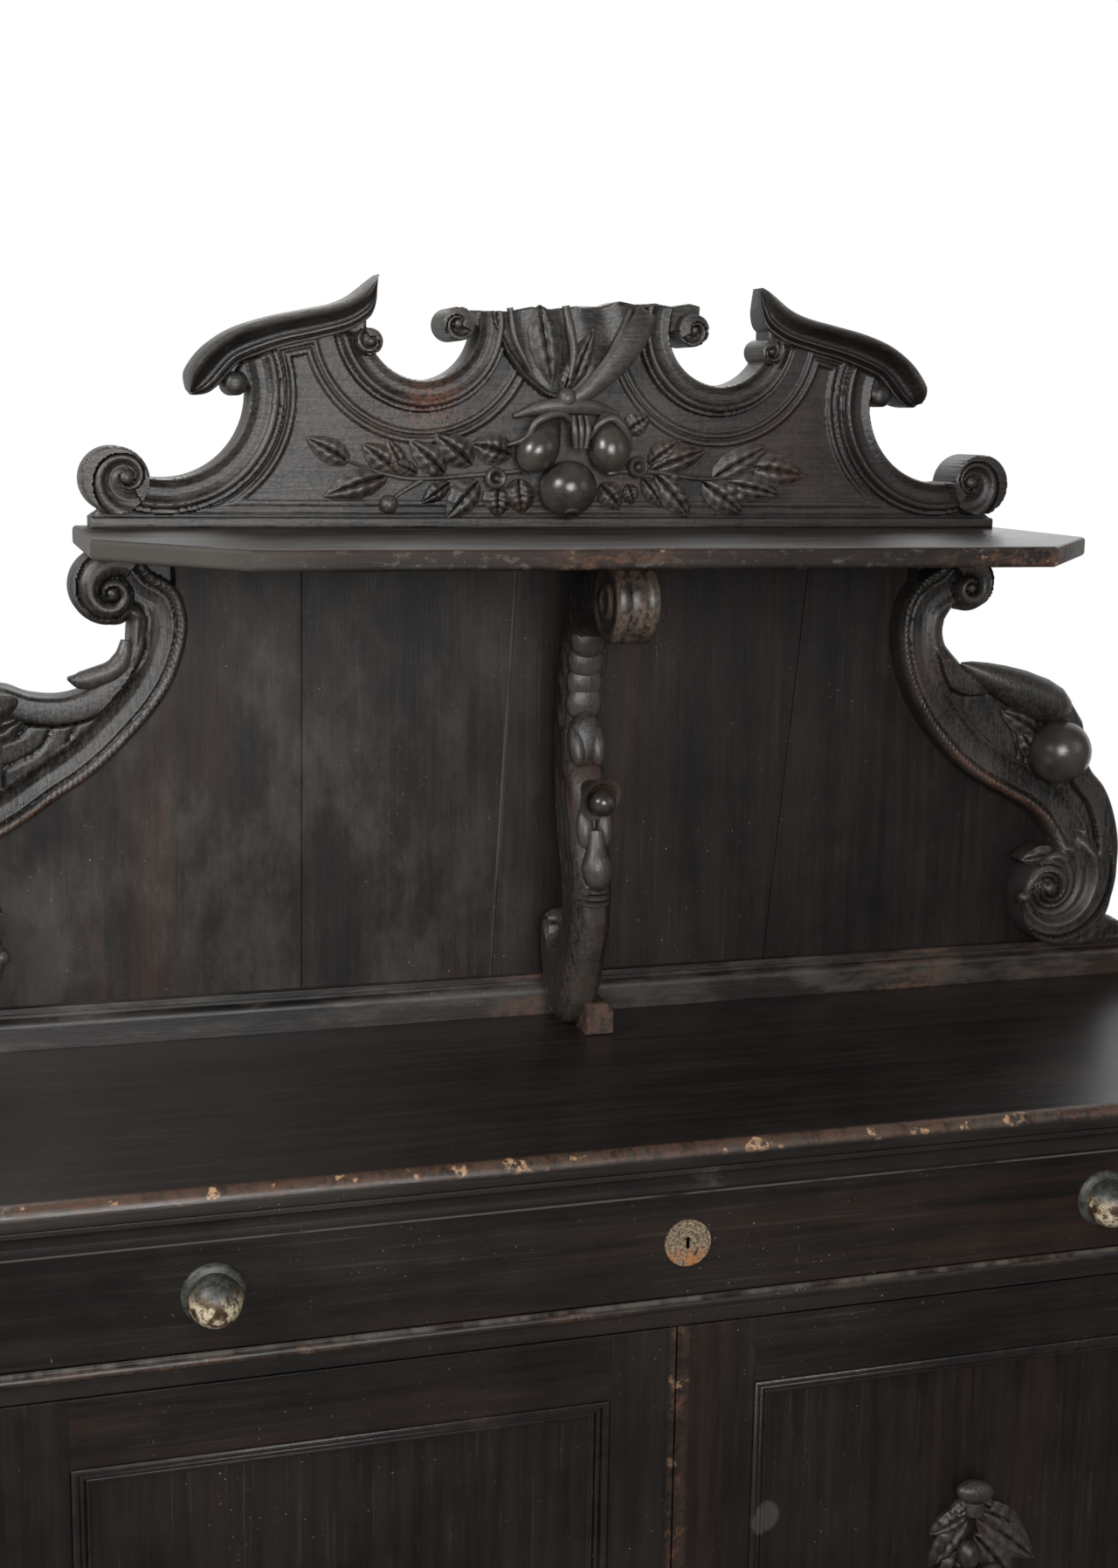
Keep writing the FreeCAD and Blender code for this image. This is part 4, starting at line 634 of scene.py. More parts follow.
def fruit_drop(middle):
    """Shells of a hanging bunch: a nut, a collar, leaves, a tail of leaves and four fruits."""
    across, rise, h = DROP_NUT
    shells = [turned(globe(13.0, 1.75, 18), (middle + across, PANEL_FACE - rise, h), (1, 0, -0.12), 24)]
    across, rise, h = COLLAR_AT
    shells.append(turned(COLLAR, (middle + across, PANEL_FACE - rise, h), (0, 0, 1), 20))
    for root_x, root_h, tip_x, tip_h, width in LARGE_LEAVES + SMALL_LEAVES + TAIL_LEAVES:
        curl = DROP_CURL if tip_x < 0 else -DROP_CURL
        root = (middle + root_x, root_h)
        tip = (middle + tip_x, tip_h)
        shells.append(leaf(root, tip, width, DROP_SWELL, DROP_SINK, curl, LEAF_VEINS, PANEL_FACE))
    for across, rise, h, radius, length, lean, facets in DROP_FRUIT:
        spot = (middle + across, PANEL_FACE - rise, h)
        shells.append(turned(globe(radius, length), spot, (lean, 0, 1), facets))
    return shells


DROP_BLACK = carved_black("drop_black")
CARVED_CREASE = 50
for side, sign in (("left", -1), ("right", 1)):
    drop = fruit_drop(sign * DROP_MIDDLE)
    made(side + "_door_drop", drop, DROP_BLACK, side + "_door_carving", CARVED_CREASE, side + "_door")


# The back: four upright boards with slanting, tongued joints, and a moulding planted along their foot.
# Black stain with dust in clouds, greyed more towards the left by a painted sheen. The moulding is rubbed to
# reddish wood in two places.
def board_dust_and_sheen(place):
    """Dust and bloomed polish in soft clouds, with a painted sheen that makes them stronger towards the left.
    """
    clouds = place.noise((1.0, 1.0, 0.5), 9.0, 7.0, 0.72).rise(0.42, 0.72)
    joint = place.along("X") - place.along("Z") * 0.0541 + 0.1361
    wear = place.noise((1.0, 1.0, 0.2), 30.0, 4.0, 0.6).rise(0.35, 0.6)
    rubbed = joint.between(-0.0035, 0.001, 0.0012) * wear
    # Painted sheen: the clouds grow stronger towards the left.
    return clouds * (place.along("X").rise(0.15, -0.25) * 0.34 + 0.06) | rubbed * 0.6


def skirting_dust(place):
    """Dust in long clouds."""
    return place.noise((0.3, 1.0, 1.0), 26.0, 6.0, 0.7).rise(0.44, 0.66) * 0.44


def skirting_wear(place):
    """Two patches rubbed to reddish wood."""
    across = place.along("X")
    patches = across.between(-0.086, -0.019, 0.02) | across.between(0.43, 0.537, 0.03)
    return patches * place.noise((0.2, 1.0, 1.0), 60.0, 4.0, 0.6).rise(0.42, 0.58) * 0.9


BOARD_SHEEN = 0.26
BACK_BLACK = ebonised("back_black", GRAIN_UP, dust_and_sheen=board_dust_and_sheen, dull=0.46, russet=0.8, sheen=BOARD_SHEEN)
dress(BACK_BLACK, "back_board_far_left", "back_board_left", "back_board_centre", "back_board_right")
SKIRTING_BLACK = ebonised(
    "skirting_black", GRAIN_ACROSS, skirting_wear, skirting_dust, dull=0.42, russet=0.9, chipped=0.0
)
dress(SKIRTING_BLACK, "back_base_moulding")
BOARD_JOINTS = ((-315.0, -311.0), (-82.0, -51.0), (276.0, 326.0))
TONGUE_HALF = 0.45
TONGUE_DEPTHS = (245, 262)
TONGUE_FOOT = 1000.3
TONGUE_HEAD = 1572.7
tongues = []
for foot_x, head_x in BOARD_JOINTS:
    rings = []
    for x, z in ((foot_x, TONGUE_FOOT), (head_x, TONGUE_HEAD)):
        left = x - TONGUE_HALF
        right = x + TONGUE_HALF
        front, rear = TONGUE_DEPTHS
        rings.append([(left, front, z), (right, front, z), (right, rear, z), (left, rear, z)])
    tongues.append(lofted(rings))
made("board_joint_tongues", tongues, BACK_BLACK)


# The wings: a C-scroll on each side between worktop and shelf, sawn from thick board and carved in front.
# A volute under the shelf, a long feathered leaf, a ball fruit and a coiled foot. Screwed to the boards. The
# carver drew each by eye: the left one has a rolled lip and swells further out.
def carved(rim, relief, span, step, depth, rear=None):
    """Shell of a board in x and h whose outline is where rim is 0. relief gives its front, depth its back.

    Points come as (x, depth, h), with the relief towards lower depths. rear gives a carved back.
    """
    x, h = np.meshgrid(np.arange(*span[0], step), np.arange(*span[1], step), indexing="ij")
    inside = rim(x, h) > -0.45 * step
    cells = inside[:-1, :-1] & inside[1:, :-1] & inside[:-1, 1:] & inside[1:, 1:]
    around = np.zeros(x.shape, int)
    for across in (slice(None, -1), slice(1, None)):
        for upward in (slice(None, -1), slice(1, None)):
            around[across, upward] += cells
    border = (around > 0) & (around < 4)
    edge_x = x[border]
    edge_h = h[border]
    probe = 0.2
    for _ in range(4):
        gap = rim(edge_x, edge_h)
        slope_x = (rim(edge_x + probe, edge_h) - gap) / probe
        slope_h = (rim(edge_x, edge_h + probe) - gap) / probe
        pull = np.clip(gap / np.maximum(slope_x**2 + slope_h**2, 0.3), -step, step)
        edge_x = edge_x - pull * slope_x
        edge_h = edge_h - pull * slope_h
    x[border] = edge_x
    h[border] = edge_h
    used = around > 0
    number = np.full(x.shape, -1)
    number[used] = np.arange(used.sum())
    front = np.column_stack([x[used], relief(x[used], h[used], rim(x[used], h[used])), h[used]])
    quads = np.stack([number[:-1, :-1], number[1:, :-1], number[1:, 1:], number[:-1, 1:]], -1)[cells]
    faces = quads.tolist()
    after = {}
    sides = set()
    for quad in faces:
        sides.update(zip(quad, quad[1:] + quad[:1]))
    for a, b in sides:
        if (b, a) not in sides:
            after[a] = b
    back = len(front)
    if rear:
        depths = rear(front[:, 0], front[:, 2], rim(x[used], h[used]))
        behind = np.column_stack([front[:, 0], depths, front[:, 2]])
        points = np.vstack([front, behind])
        faces += [[back + index for index in reversed(quad)] for quad in quads.tolist()]
        faces += [[b, a, back + a, back + b] for a, b in after.items()]
        return points.tolist(), faces
    order = {a: back + place for place, a in enumerate(after)}
    points = front.tolist() + [[front[a][0], depth, front[a][2]] for a in after]
    faces += [[b, a, order[a], order[b]] for a, b in after.items()]
    left = dict(after)
    loops = []
    while left:
        start = next(iter(left))
        loop = [start]
        nxt = left.pop(start)
        while nxt != start:
            loop.append(nxt)
            nxt = left.pop(nxt)
        loops.append(loop)
    flat = [index for loop in loops for index in loop]
    outline = [[Vector((front[a][0], front[a][2], 0.0)) for a in loop] for loop in loops]
    for a, b, c in tessellate_polygon(outline):
        corners = [order[flat[index]] for index in (a, b, c)]
        p, q, r = [points[index] for index in corners]
        turn = (q[0] - p[0]) * (r[2] - p[2]) - (q[2] - p[2]) * (r[0] - p[0])
        faces.append(corners if turn < 0 else corners[::-1])
    return points, faces


def reach(line, x, h):
    """Distance of points from a line, and how far along it the nearest place lies."""
    nearest = np.full(x.shape, np.inf)
    travel = np.zeros(x.shape)
    run = 0.0
    for start, stop in zip(line, line[1:]):
        step = stop - start
        length = np.hypot(*step)
        if length == 0.0:
            continue
        part = np.clip(((x - start[0]) * step[0] + (h - start[1]) * step[1]) / length**2, 0.0, 1.0)
        gap = np.hypot(x - start[0] - part * step[0], h - start[1] - part * step[1])
        travel = np.where(gap < nearest, run + part * length, travel)
        nearest = np.minimum(nearest, gap)
        run += length
    return nearest, travel


def within(outline, x, h):
    """Distance inside a closed outline, negative outside."""
    outline = np.asarray(outline, float)
    gap = reach(np.vstack([outline, outline[:1]]), x, h)[0]
    odd = np.zeros(x.shape, bool)
    for start, stop in zip(outline, np.roll(outline, -1, 0)):
        if start[1] != stop[1]:
            crossing = (stop[0] - start[0]) * (h - start[1]) / (stop[1] - start[1]) + start[0]
            odd ^= ((start[1] > h) != (stop[1] > h)) & (x < crossing)
    return np.where(odd, gap, -gap)


def disc(x, h, centre, radius):
    """Distance inside a circle, negative outside."""
    return radius - np.hypot(x - centre[0], h - centre[1])


def wound_in(x, h, eye, outer, tightness, neck, hand):
    """Turns of a volute's band that lie outside of points, negative before the band begins.

    neck is the angle in degrees where the band comes in, and hand is -1 where it winds clockwise.
    """
    radius = np.maximum(np.hypot(x - eye[0], h - eye[1]), 0.5)
    turn = np.mod(hand * (np.arctan2(h - eye[1], x - eye[0]) - math.radians(neck)), 2 * math.pi)
    return (np.log(outer / radius) / tightness - turn) / (2 * math.pi)


def whorl(x, h, eye, outer, tightness, neck, eye_size, hand=1, flutes=0.0, plump=0.0):
    """Relief of a volute: a hollow band with a beaded edge, or a plump one, wound in to a round eye."""
    radius = np.hypot(x - eye[0], h - eye[1])
    coil = wound_in(x, h, eye, outer, tightness, neck, hand)
    wind = np.where(coil < 0, 0.14, coil - np.floor(coil))
    at = [0.0, 0.07, 0.14, 0.24, 0.34, 0.55, 0.8, 0.95, 1.0]
    hollow = np.interp(wind, at, [0.25, 0.9, 1.0, 0.9, 0.35, 0.05, 0.2, 0.45, 0.25])
    full = np.interp(wind, [0.0, 0.12, 0.3, 0.5, 0.75, 0.92, 1.0], [0.1, 0.75, 1.0, 0.95, 0.6, 0.1, 0.1])
    band = hollow + plump * (full - hollow) + flutes * np.cos(8 * math.pi * coil)
    button = np.sqrt(np.maximum(1.0 - (radius / eye_size) ** 2, 0.0))
    return np.where(radius < eye_size, 0.5 + 0.9 * button, band + 0.5 * np.maximum(1.0 - radius / outer, 0.0))


def smooth_line(points, count):
    """Evenly spaced points on a smooth curve through the given ones."""
    points = np.asarray(points, float)
    spread = np.vstack([2 * points[0] - points[1], points, 2 * points[-1] - points[-2]])
    part = np.linspace(0.0, 1.0, 14, endpoint=False)[:, None]
    fine = []
    for a, b, c, d in zip(spread, spread[1:], spread[2:], spread[3:]):
        bend = 2 * a - 5 * b + 4 * c - d + part * (3 * b - a - 3 * c + d)
        fine.append(b + 0.5 * part * (c - a + part * bend))
    fine = np.vstack(fine + [points[-1:]])
    run = np.concatenate([[0.0], np.cumsum(np.linalg.norm(np.diff(fine, axis=0), axis=1))])
    even = np.linspace(0.0, run[-1], count)
    return np.column_stack([np.interp(even, run, fine[:, axis]) for axis in range(fine.shape[1])])


def strand(line, widths, thickness, ground):
    """Rounded ribbon along points (x, outward, h), of a width at each."""
    line = np.asarray(line, float)
    fine = smooth_line(line, 8 * len(line))
    spread = np.interp(np.linspace(0, 1, len(fine)), np.linspace(0, 1, len(widths)), widths)
    rings = []
    for place, (x, rise, h) in enumerate(fine):
        ahead = fine[min(place + 1, len(fine) - 1)] - fine[max(place - 1, 0)]
        side = np.array((-ahead[2], 0.0, ahead[0]))
        side = side / max(np.linalg.norm(side), 1e-6)
        ring = []
        for turn in np.linspace(0.0, 2 * math.pi, 12, endpoint=False):
            offset = side * math.cos(turn) * spread[place] / 2
            ring.append((x + offset[0], ground - rise - thickness / 2 * math.sin(turn), h + offset[2]))
        rings.append(ring)
    return lofted(rings[::-1])


def lifted(shell, rise):
    """The same shell, moved up."""
    return [(x, y, h + rise) for x, y, h in shell[0]], shell[1]


def mirrored(shell):
    """The same shell on the other side of the middle."""
    return [(-x, y, h) for x, y, h in shell[0]], [face[::-1] for face in shell[1]]


WING_DEPTH = 214.0
WING_STEP = 1.8
BALL_RADIUS = 41.0
HOLLOW_WIDTH = 47.0
LOBE_WIDTH = 32.0
LEAFLET = 26.0
CORNER_RISE = 0.6
NECK_HEIGHT = 430.0
WING_TOP = 573.0
worktop_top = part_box("worktop")[1][2] / MM
wing_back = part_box("back_board_right")[0][1] / MM
RIGHT_INNER = [
    (506, WING_TOP), (490, 547), (468, 533), (452, 518), (441, 497), (437, 472), (438, 447), (443, 423),
    (451, 399), (463, 374), (485, 340), (512, 310), (536, 288), (564, 269), (598, 251), (630, 234),
    (654, 214), (672, 190),
]
RIGHT_OUTER = [
    (764, 140), (766, 172), (762, 201), (752, 233), (738, 259), (714, 288), (703, 338), (696, 352),
    (675, 379), (642, 402), (603, 416), (564, 417), (530, 417), (505, 443), (498, 463), (500, 480),
]
LEFT_INNER = [
    (503, WING_TOP), (486, 547), (468, 536), (456, 525), (449, 508), (446, 488), (448, 468), (453, 449),
    (460, 429), (473, 405), (490, 382), (513, 357), (536, 334), (563, 312), (595, 291), (626, 269),
    (658, 249), (688, 224), (704, 192),
]
LEFT_OUTER = [
    (786, 140), (789, 172), (786, 205), (776, 240), (764, 275), (748, 320), (736, 352), (718, 384),
    (690, 410), (653, 422), (622, 412), (591, 409), (564, 415), (540, 428), (524, 445), (515, 460),
    (513, 479), (512, 492),
]
CORNER = [(459, 505), (459, WING_TOP), (530, WING_TOP), (530, 505)]
SHOULDER = [(684, 47), (698, 66), (736, 92), (762, 82), (792, 66), (814, 54), (818, 47)]
EDGE_AT = [0, 2, 6, 10, 12.5, 14, 16, 22, 30, 38, 44, 47, 49, 52]
EDGE_RISE = [3, 6, 7.5, 6, 2.5, 0.5, 3, 1, -0.5, 1, 4.5, 5.5, 5, 2]
LOBE = [(-88, 2), (-76, 8), (-54, 15), (-26, 21.5), (6, 26), (34, 28), (58, 25), (74, 17), (84, 4)]
WING_SPAN = ((436.0, 820.0), (46.0, 574.0))
LOBE_AXIS = (0.92, 0.0, -0.39)
FOOT_RADIUS = 66.0
FOOT_BLEND = 22.0
FOOT_WHORL = (112.0, 0.21, 60.0, 11.0, -1, 0.13)
FLUTE_PITCH = 7.2
LOBE_STAND = 8.0
LEAF_STAND = 4.0
BEAD_STAND = 10.0
BALL_STAND = 18.0
FRUIT_LEAVES = [((-22, 21), (-77, 59), 34.0, 0.1), ((-22, -9), (-58, 25), 30.0, -0.1)]
FOOT_LEAF = [(-16, 58), (-66, 56)]
FOOT_BEADS = [(-63.0, 3.0, 10.0), (-56.0, -15.0, 8.0), (-44.0, -29.0, 7.0)]


def wing_forms(inner, outer, volute, foot, feather, lip):
    """Outline and relief of one wing, as functions of x and h.

    volute is its middle and radius. feather says how deep the leaflets are cut, and lip how far the edge
    under the volute is rolled.
    """
    inner_edge = smooth_line(inner, 80)
    outer_edge = smooth_line(outer, 90)
    heel = [foot, (foot[0] + 45, 70), (foot[0] + 62, 95)]
    outline = np.vstack([inner_edge, heel, outer_edge, [volute[:2], (volute[0], WING_TOP)]])
    foot_eye = (foot[0] - 27.0, foot[1] + 13.0)
    eye = (volute[0] - 0.08 * volute[2], volute[1] - 0.16 * volute[2])

    def rim(x, h):
        body = np.maximum(within(outline, x, h), within(SHOULDER, x, h))
        body = np.maximum(body, within(CORNER, x, h))
        body = np.maximum(body, np.minimum(disc(x, h, volute, volute[2]), WING_TOP - h))
        return np.maximum(body, disc(x, h, foot, FOOT_RADIUS))

    def relief(x, h, rim):
        inside, run = reach(inner_edge, x, h)
        outside = reach(outer_edge, x, h)[0]
        band = np.interp(inside, EDGE_AT, EDGE_RISE)
        flutes = 0.7 * np.sin(2 * math.pi * (run + inside) / FLUTE_PITCH)
        band = band + np.where((inside > 1.5) & (inside < 11.0), flutes, 0.0)
        below = outside - LOBE_WIDTH
        vein = np.mod((run - 1.15 * below - 0.004 * below**2) / LEAFLET, 1.0)
        groove = np.exp(-((np.minimum(vein, 1.0 - vein) * LEAFLET / 3.2) ** 2))
        leaflets = 2.0 + feather * (2.4 + 1.8 * vein - 3.4 * groove)
        lobe = 7.0 + 6.0 * np.sqrt(np.clip(1.0 - ((outside - 20.0) / 24.0) ** 2, 0.0, 1.0))
        body = np.where(inside < HOLLOW_WIDTH, band, np.where(below > 0.0, leaflets, lobe))
        body = body - feather * 5.0 * np.exp(-((below / 2.2) ** 2)) * (inside > HOLLOW_WIDTH)
        strip = 8.0 * np.exp(-(((outside - 9.0) / 6.5) ** 2)) - 4.0 * np.exp(-(((outside - 20.0) / 2.2) ** 2))
        neck = np.clip((h - NECK_HEIGHT) / 16.0, 0.0, 1.0)
        rise = neck * (band + lip * strip) + (1.0 - neck) * body
        coil = (eye, 1.36 * volute[2], 0.185, 130.0)
        roll = 4.0 + 11.0 * whorl(x, h, *coil, 0.2 * volute[2], -1, 0.0, 1.0)
        wound = np.clip(1.0 + wound_in(x, h, *coil, -1) / 0.1, 0.0, 1.0) * (disc(x, h, volute, volute[2]) > 0)
        rise = rise * (1.0 - wound) + roll * wound
        coils = 3.0 + 12.0 * whorl(x, h, foot_eye, *FOOT_WHORL)
        near = np.clip(disc(x, h, foot, FOOT_RADIUS + FOOT_BLEND) / FOOT_BLEND, 0.0, 1.0)
        rise = rise * (1.0 - near) + coils * near
        worn_edge = np.clip(1.0 - rim / 6.0, 0.0, 1.0)
        front = WING_DEPTH - rise + 5.0 * worn_edge**2
        corner = (within(CORNER, x, h) > 0.0) & (within(outline, x, h) < 0.0)
        bare = corner & (disc(x, h, volute, volute[2]) < 0.0)
        return np.where(bare, wing_back - CORNER_RISE, front)

    return rim, relief


RIM_SLANT = (0.541, 0.841)


def inner_rubbing(line):
    """Reddish wear on the lower run of the fluted rim, whose slanting line is given."""

    def worn(place):
        side = abs(place.along("X"))
        cross = side * RIM_SLANT[0] + place.along("Z") * RIM_SLANT[1]
        return cross.between(line - 0.006, line + 0.006, 0.005) * side.between(0.5, 0.665, 0.04) * 0.45

    return worn


def fruit_bloom_and_sheen(place):
    """Polish rubbed grey all over in soft clouds, with a painted grey sheen."""
    return place.noise(EVEN, 24.0, 4.0, 0.6).rise(0.3, 0.7) * 0.32 + 0.12


# The fruit's grey is partly a painted sheen.
FRUIT_BLACK = ebonised("fruit_black", EVEN, dust_and_sheen=fruit_bloom_and_sheen, dull=0.2, russet=0.4, edge=0.001, sheen=0.6)


def wing(side, forms, foot, fruit_at, lobe_at, stretch, rubbed, extra):
    """One wing and its ball fruit, set out on the right and mirrored for the left side.

    stretch is the length of its lobe, rubbed the place of the wear on its rim, and extra holds more shells.
    """
    foot_x, foot_h = foot
    fruit_x, fruit_h = fruit_at
    lobe_x, lobe_h = lobe_at
    shells = [carved(*forms, WING_SPAN, WING_STEP, wing_back)]
    lobe = [(along * stretch, radius) for along, radius in LOBE]
    shells.append(turned(lobe, (lobe_x, WING_DEPTH - LOBE_STAND, lobe_h), LOBE_AXIS, 32))
    for (root_x, root_h), (tip_x, tip_h), width, curl in FRUIT_LEAVES:
        root = (fruit_x + root_x, fruit_h + root_h)
        tip = (fruit_x + tip_x, fruit_h + tip_h)
        shells.append(leaf(root, tip, width, 9.0, 6.0, curl, 4, WING_DEPTH - LEAF_STAND))
    root, tip = [(foot_x + across, foot_h + upward) for across, upward in FOOT_LEAF]
    shells.append(leaf(root, tip, 26.0, 8.0, 26.0, 0.1, 3, WING_DEPTH))
    for across, upward, size in FOOT_BEADS:
        spot = (foot_x + across, WING_DEPTH - BEAD_STAND, foot_h + upward)
        shells.append(turned(globe(size), spot, OUTWARD, 18))
    ball_at = (fruit_x, WING_DEPTH - BALL_STAND, fruit_h)
    ball = [turned(globe(BALL_RADIUS, 1.0, 26), ball_at, OUTWARD, 48)]
    shells = [lifted(shell, worktop_top) for shell in shells + extra]
    ball = [lifted(shell, worktop_top) for shell in ball]
    if side == "left":
        shells = [mirrored(shell) for shell in shells]
        ball = [mirrored(shell) for shell in ball]
    finish = carved_black(side + "_wing_black", inner_rubbing(rubbed))
    made(side + "_wing_carved", shells, finish, "side_wings", CARVED_CREASE)
    made(side + "_wing_fruit", ball, FRUIT_BLACK, "side_wings", CARVED_CREASE)


RIGHT_FOOT = (690.0, 113.0)
LEFT_FOOT = (724.0, 113.0)
RIGHT_VOLUTE = (529.0, 526.0, 36.0)
LEFT_VOLUTE = (533.0, 530.0, 43.0)
right_forms = wing_forms(RIGHT_INNER, RIGHT_OUTER, RIGHT_VOLUTE, RIGHT_FOOT, feather=0.3, lip=0.0)
left_forms = wing_forms(LEFT_INNER, LEFT_OUTER, LEFT_VOLUTE, LEFT_FOOT, feather=1.0, lip=1.0)
LIP_LINE = [(515, 2, 470), (519, 6, 452), (530, 8, 438), (548, 8, 431), (566, 7, 427), (580, 5, 429)]
LIP_WIDTHS = [12, 18, 23, 24, 24, 23, 20, 4]
rolled_lip = strand(LIP_LINE, LIP_WIDTHS, 16.0, WING_DEPTH)
wing(
    "right",
    right_forms,
    RIGHT_FOOT,
    fruit_at=(662.0, 309.0),
    lobe_at=(602.0, 390.0),
    stretch=1.0,
    rubbed=1.3795,
    extra=[],
)
wing(
    "left",
    left_forms,
    LEFT_FOOT,
    fruit_at=(708.0, 333.0),
    lobe_at=(686.0, 385.0),
    stretch=0.68,
    rubbed=1.4076,
    extra=[rolled_lip],
)


# The console bracket: an S-scroll set on edge between worktop and shelf, with a reeded roll under the shelf.
# Leaves, a flower and an acorn are carved down its front. A small reddish block steadies its foot.
BRACKET_STEP = 2.0
BRACKET_FRONT = [
    (205, 500), (150, 490), (109, 458), (98, 400), (105, 352), (140, 300), (150, 240), (160, 190),
    (158, 141), (142, 93), (120, 45), (92, 12), (76, 3),
]
BRACKET_REAR = [
    (52, 10), (25, 42), (10, 86), (12, 120), (30, 135), (48, 127), (45, 115), (58, 105), (80, 118),
    (92, 150), (90, 190), (70, 242), (53, 343), (66, 438), (97, 503), (130, 573),
]
BRACKET_ROLL = (248.0, 527.0)
BRACKET_HALF = 24.0
BRACKET_ROUNDING = 13.0
BEAD_AT = [0, 3, 6, 9, 10, 12, 13.5]
BEAD_RISE = [0, 2.5, 3, 1.5, -2.5, -2.5, 0]
LEAVES_FROM = 200.0
bracket_front = smooth_line(BRACKET_FRONT, 70)
bracket_rear = smooth_line(BRACKET_REAR, 80)
BRACKET_OUTLINE = np.vstack([[(248, 573), BRACKET_ROLL], bracket_front, bracket_rear])


def bracket_rim(q, h):
    """Distance inside the bracket's outline, cut level under the shelf."""
    return np.minimum(within(BRACKET_OUTLINE, q, h), WING_TOP - h)


def bracket_half(q, h, rim):
    """Half of the bracket's thickness: rounded over at the edges, a bead and a groove along the rear edge."""
    rear = reach(bracket_rear, q, h)[0]
    slim = BRACKET_HALF - BRACKET_ROUNDING * np.clip(1.0 - rim / 20.0, 0.0, 1.0) ** 2.2
    bead = np.interp(rear, BEAD_AT, BEAD_RISE)
    leaves = 1.6 * np.sin(h / 7.0 + q / 5.0) * np.sin(q / 6.0) * np.clip((rim - 12.0) / 6.0, 0.0, 1.0)
    return slim + bead + np.where(h > LEAVES_FROM, leaves, 0.0)


def bracket_left(q, h, rim):
    """The bracket's left face, which mirrors the right one."""
    return -bracket_half(q, h, rim)


def onto_bracket(shell):
    """From the bracket's own reach, thickness and height into the frame."""
    return [(across, wing_back - q, h + worktop_top) for q, across, h in shell[0]], shell[1]


def flattened(shell, middle):
    """The same shell, pressed flat towards a middle in its reach."""
    return [(middle + 0.55 * (q - middle) + 3.0, 1.05 * across, h) for q, across, h in shell[0]], shell[1]


BRACKET_SPAN = ((8.0, 252.0), (2.0, 574.0))
bracket = [carved(bracket_rim, bracket_left, BRACKET_SPAN, BRACKET_STEP, 0.0, bracket_half)]
ROLL_SECTION = [
    (24, 1), (24, 9), (26.5, 12), (26, 19), (22.5, 22), (22.5, 31), (25, 35), (24.5, 42), (21, 46),
    (12, 46), (9.5, 43.5), (7, 46),
]
roll_profile = [(-along, radius) for along, radius in ROLL_SECTION] + ROLL_SECTION[::-1]
roll = [turned(roll_profile, (BRACKET_ROLL[0], 0.0, BRACKET_ROLL[1]), (0, 1, 0), 48)]
SCALE = [(-20, 2), (-17, 12), (-8, 19), (4, 20.5), (12, 18), (16, 16), (17, 2)]
SCALES_AT = [(112, 470), (103, 445), (99, 420), (99, 395)]
for q, h in SCALES_AT:
    bracket.append(flattened(turned(SCALE, (q, 0.0, h), (0.1, 0.0, 1.0), 28), q))
BUD = (112.0, 0.0, 355.0)
BUD_AXIS = (-0.35, 0.0, 1.0)
bracket.append(flattened(turned(globe(20.0, 1.75, 20), BUD, BUD_AXIS, 28), BUD[0]))
BUD_SIDE = 12.0
for across in (-BUD_SIDE, BUD_SIDE):
    bracket.append(turned(globe(11.0, 2.6, 18), (116.0, across, 352.0), BUD_AXIS, 18))
    bracket.append(turned(globe(10.0, 2.4, 18), (152.0, across, 258.0), (-0.2, 0.0, 1.0), 18))
FLOWER = [(-26, 2), (-22, 9), (-12, 14), (-2, 20), (6, 26), (9, 27), (8, 22), (2, 15), (0, 1)]
bracket.append(turned(FLOWER, (158.0, 0.0, 296.0), (0.9, 0.25, -0.35), 30))
ACORN = [(-27, 1), (-25, 6), (-18, 13), (-8, 17), (4, 18), (16, 14), (30, 10), (44, 8), (46, 2)]
bracket.append(turned(ACORN, (163.0, 0.0, 212.0), (-0.12, 0.0, 1.0), 30))
CORD_RINGS = [(186.0, 18.0), (178.5, 20.0), (171.0, 19.0)]
for h, size in CORD_RINGS:
    section = [(-3.6, 3.0), (-3.2, size - 3), (-1.5, size), (1.5, size), (3.2, size - 3), (3.6, 3.0)]
    bracket.append(turned(section, (151.0, 0.0, h), (0.1, 0, 1), 30))
bracket.append(turned(globe(11.0), (46.0, 0.0, 121.0), (0, 1, 0), 22))
nuts = [turned(globe(15.5, 1.0, 20), (171.0, 3.0, 290.0), (0.9, 0.0, -0.45), 30)]


def roll_rubbing(place):
    """Grey, rubbed patches on the roll."""
    return place.noise(EVEN, 26.0, 4.0, 0.6).rise(0.36, 0.6) * 0.75


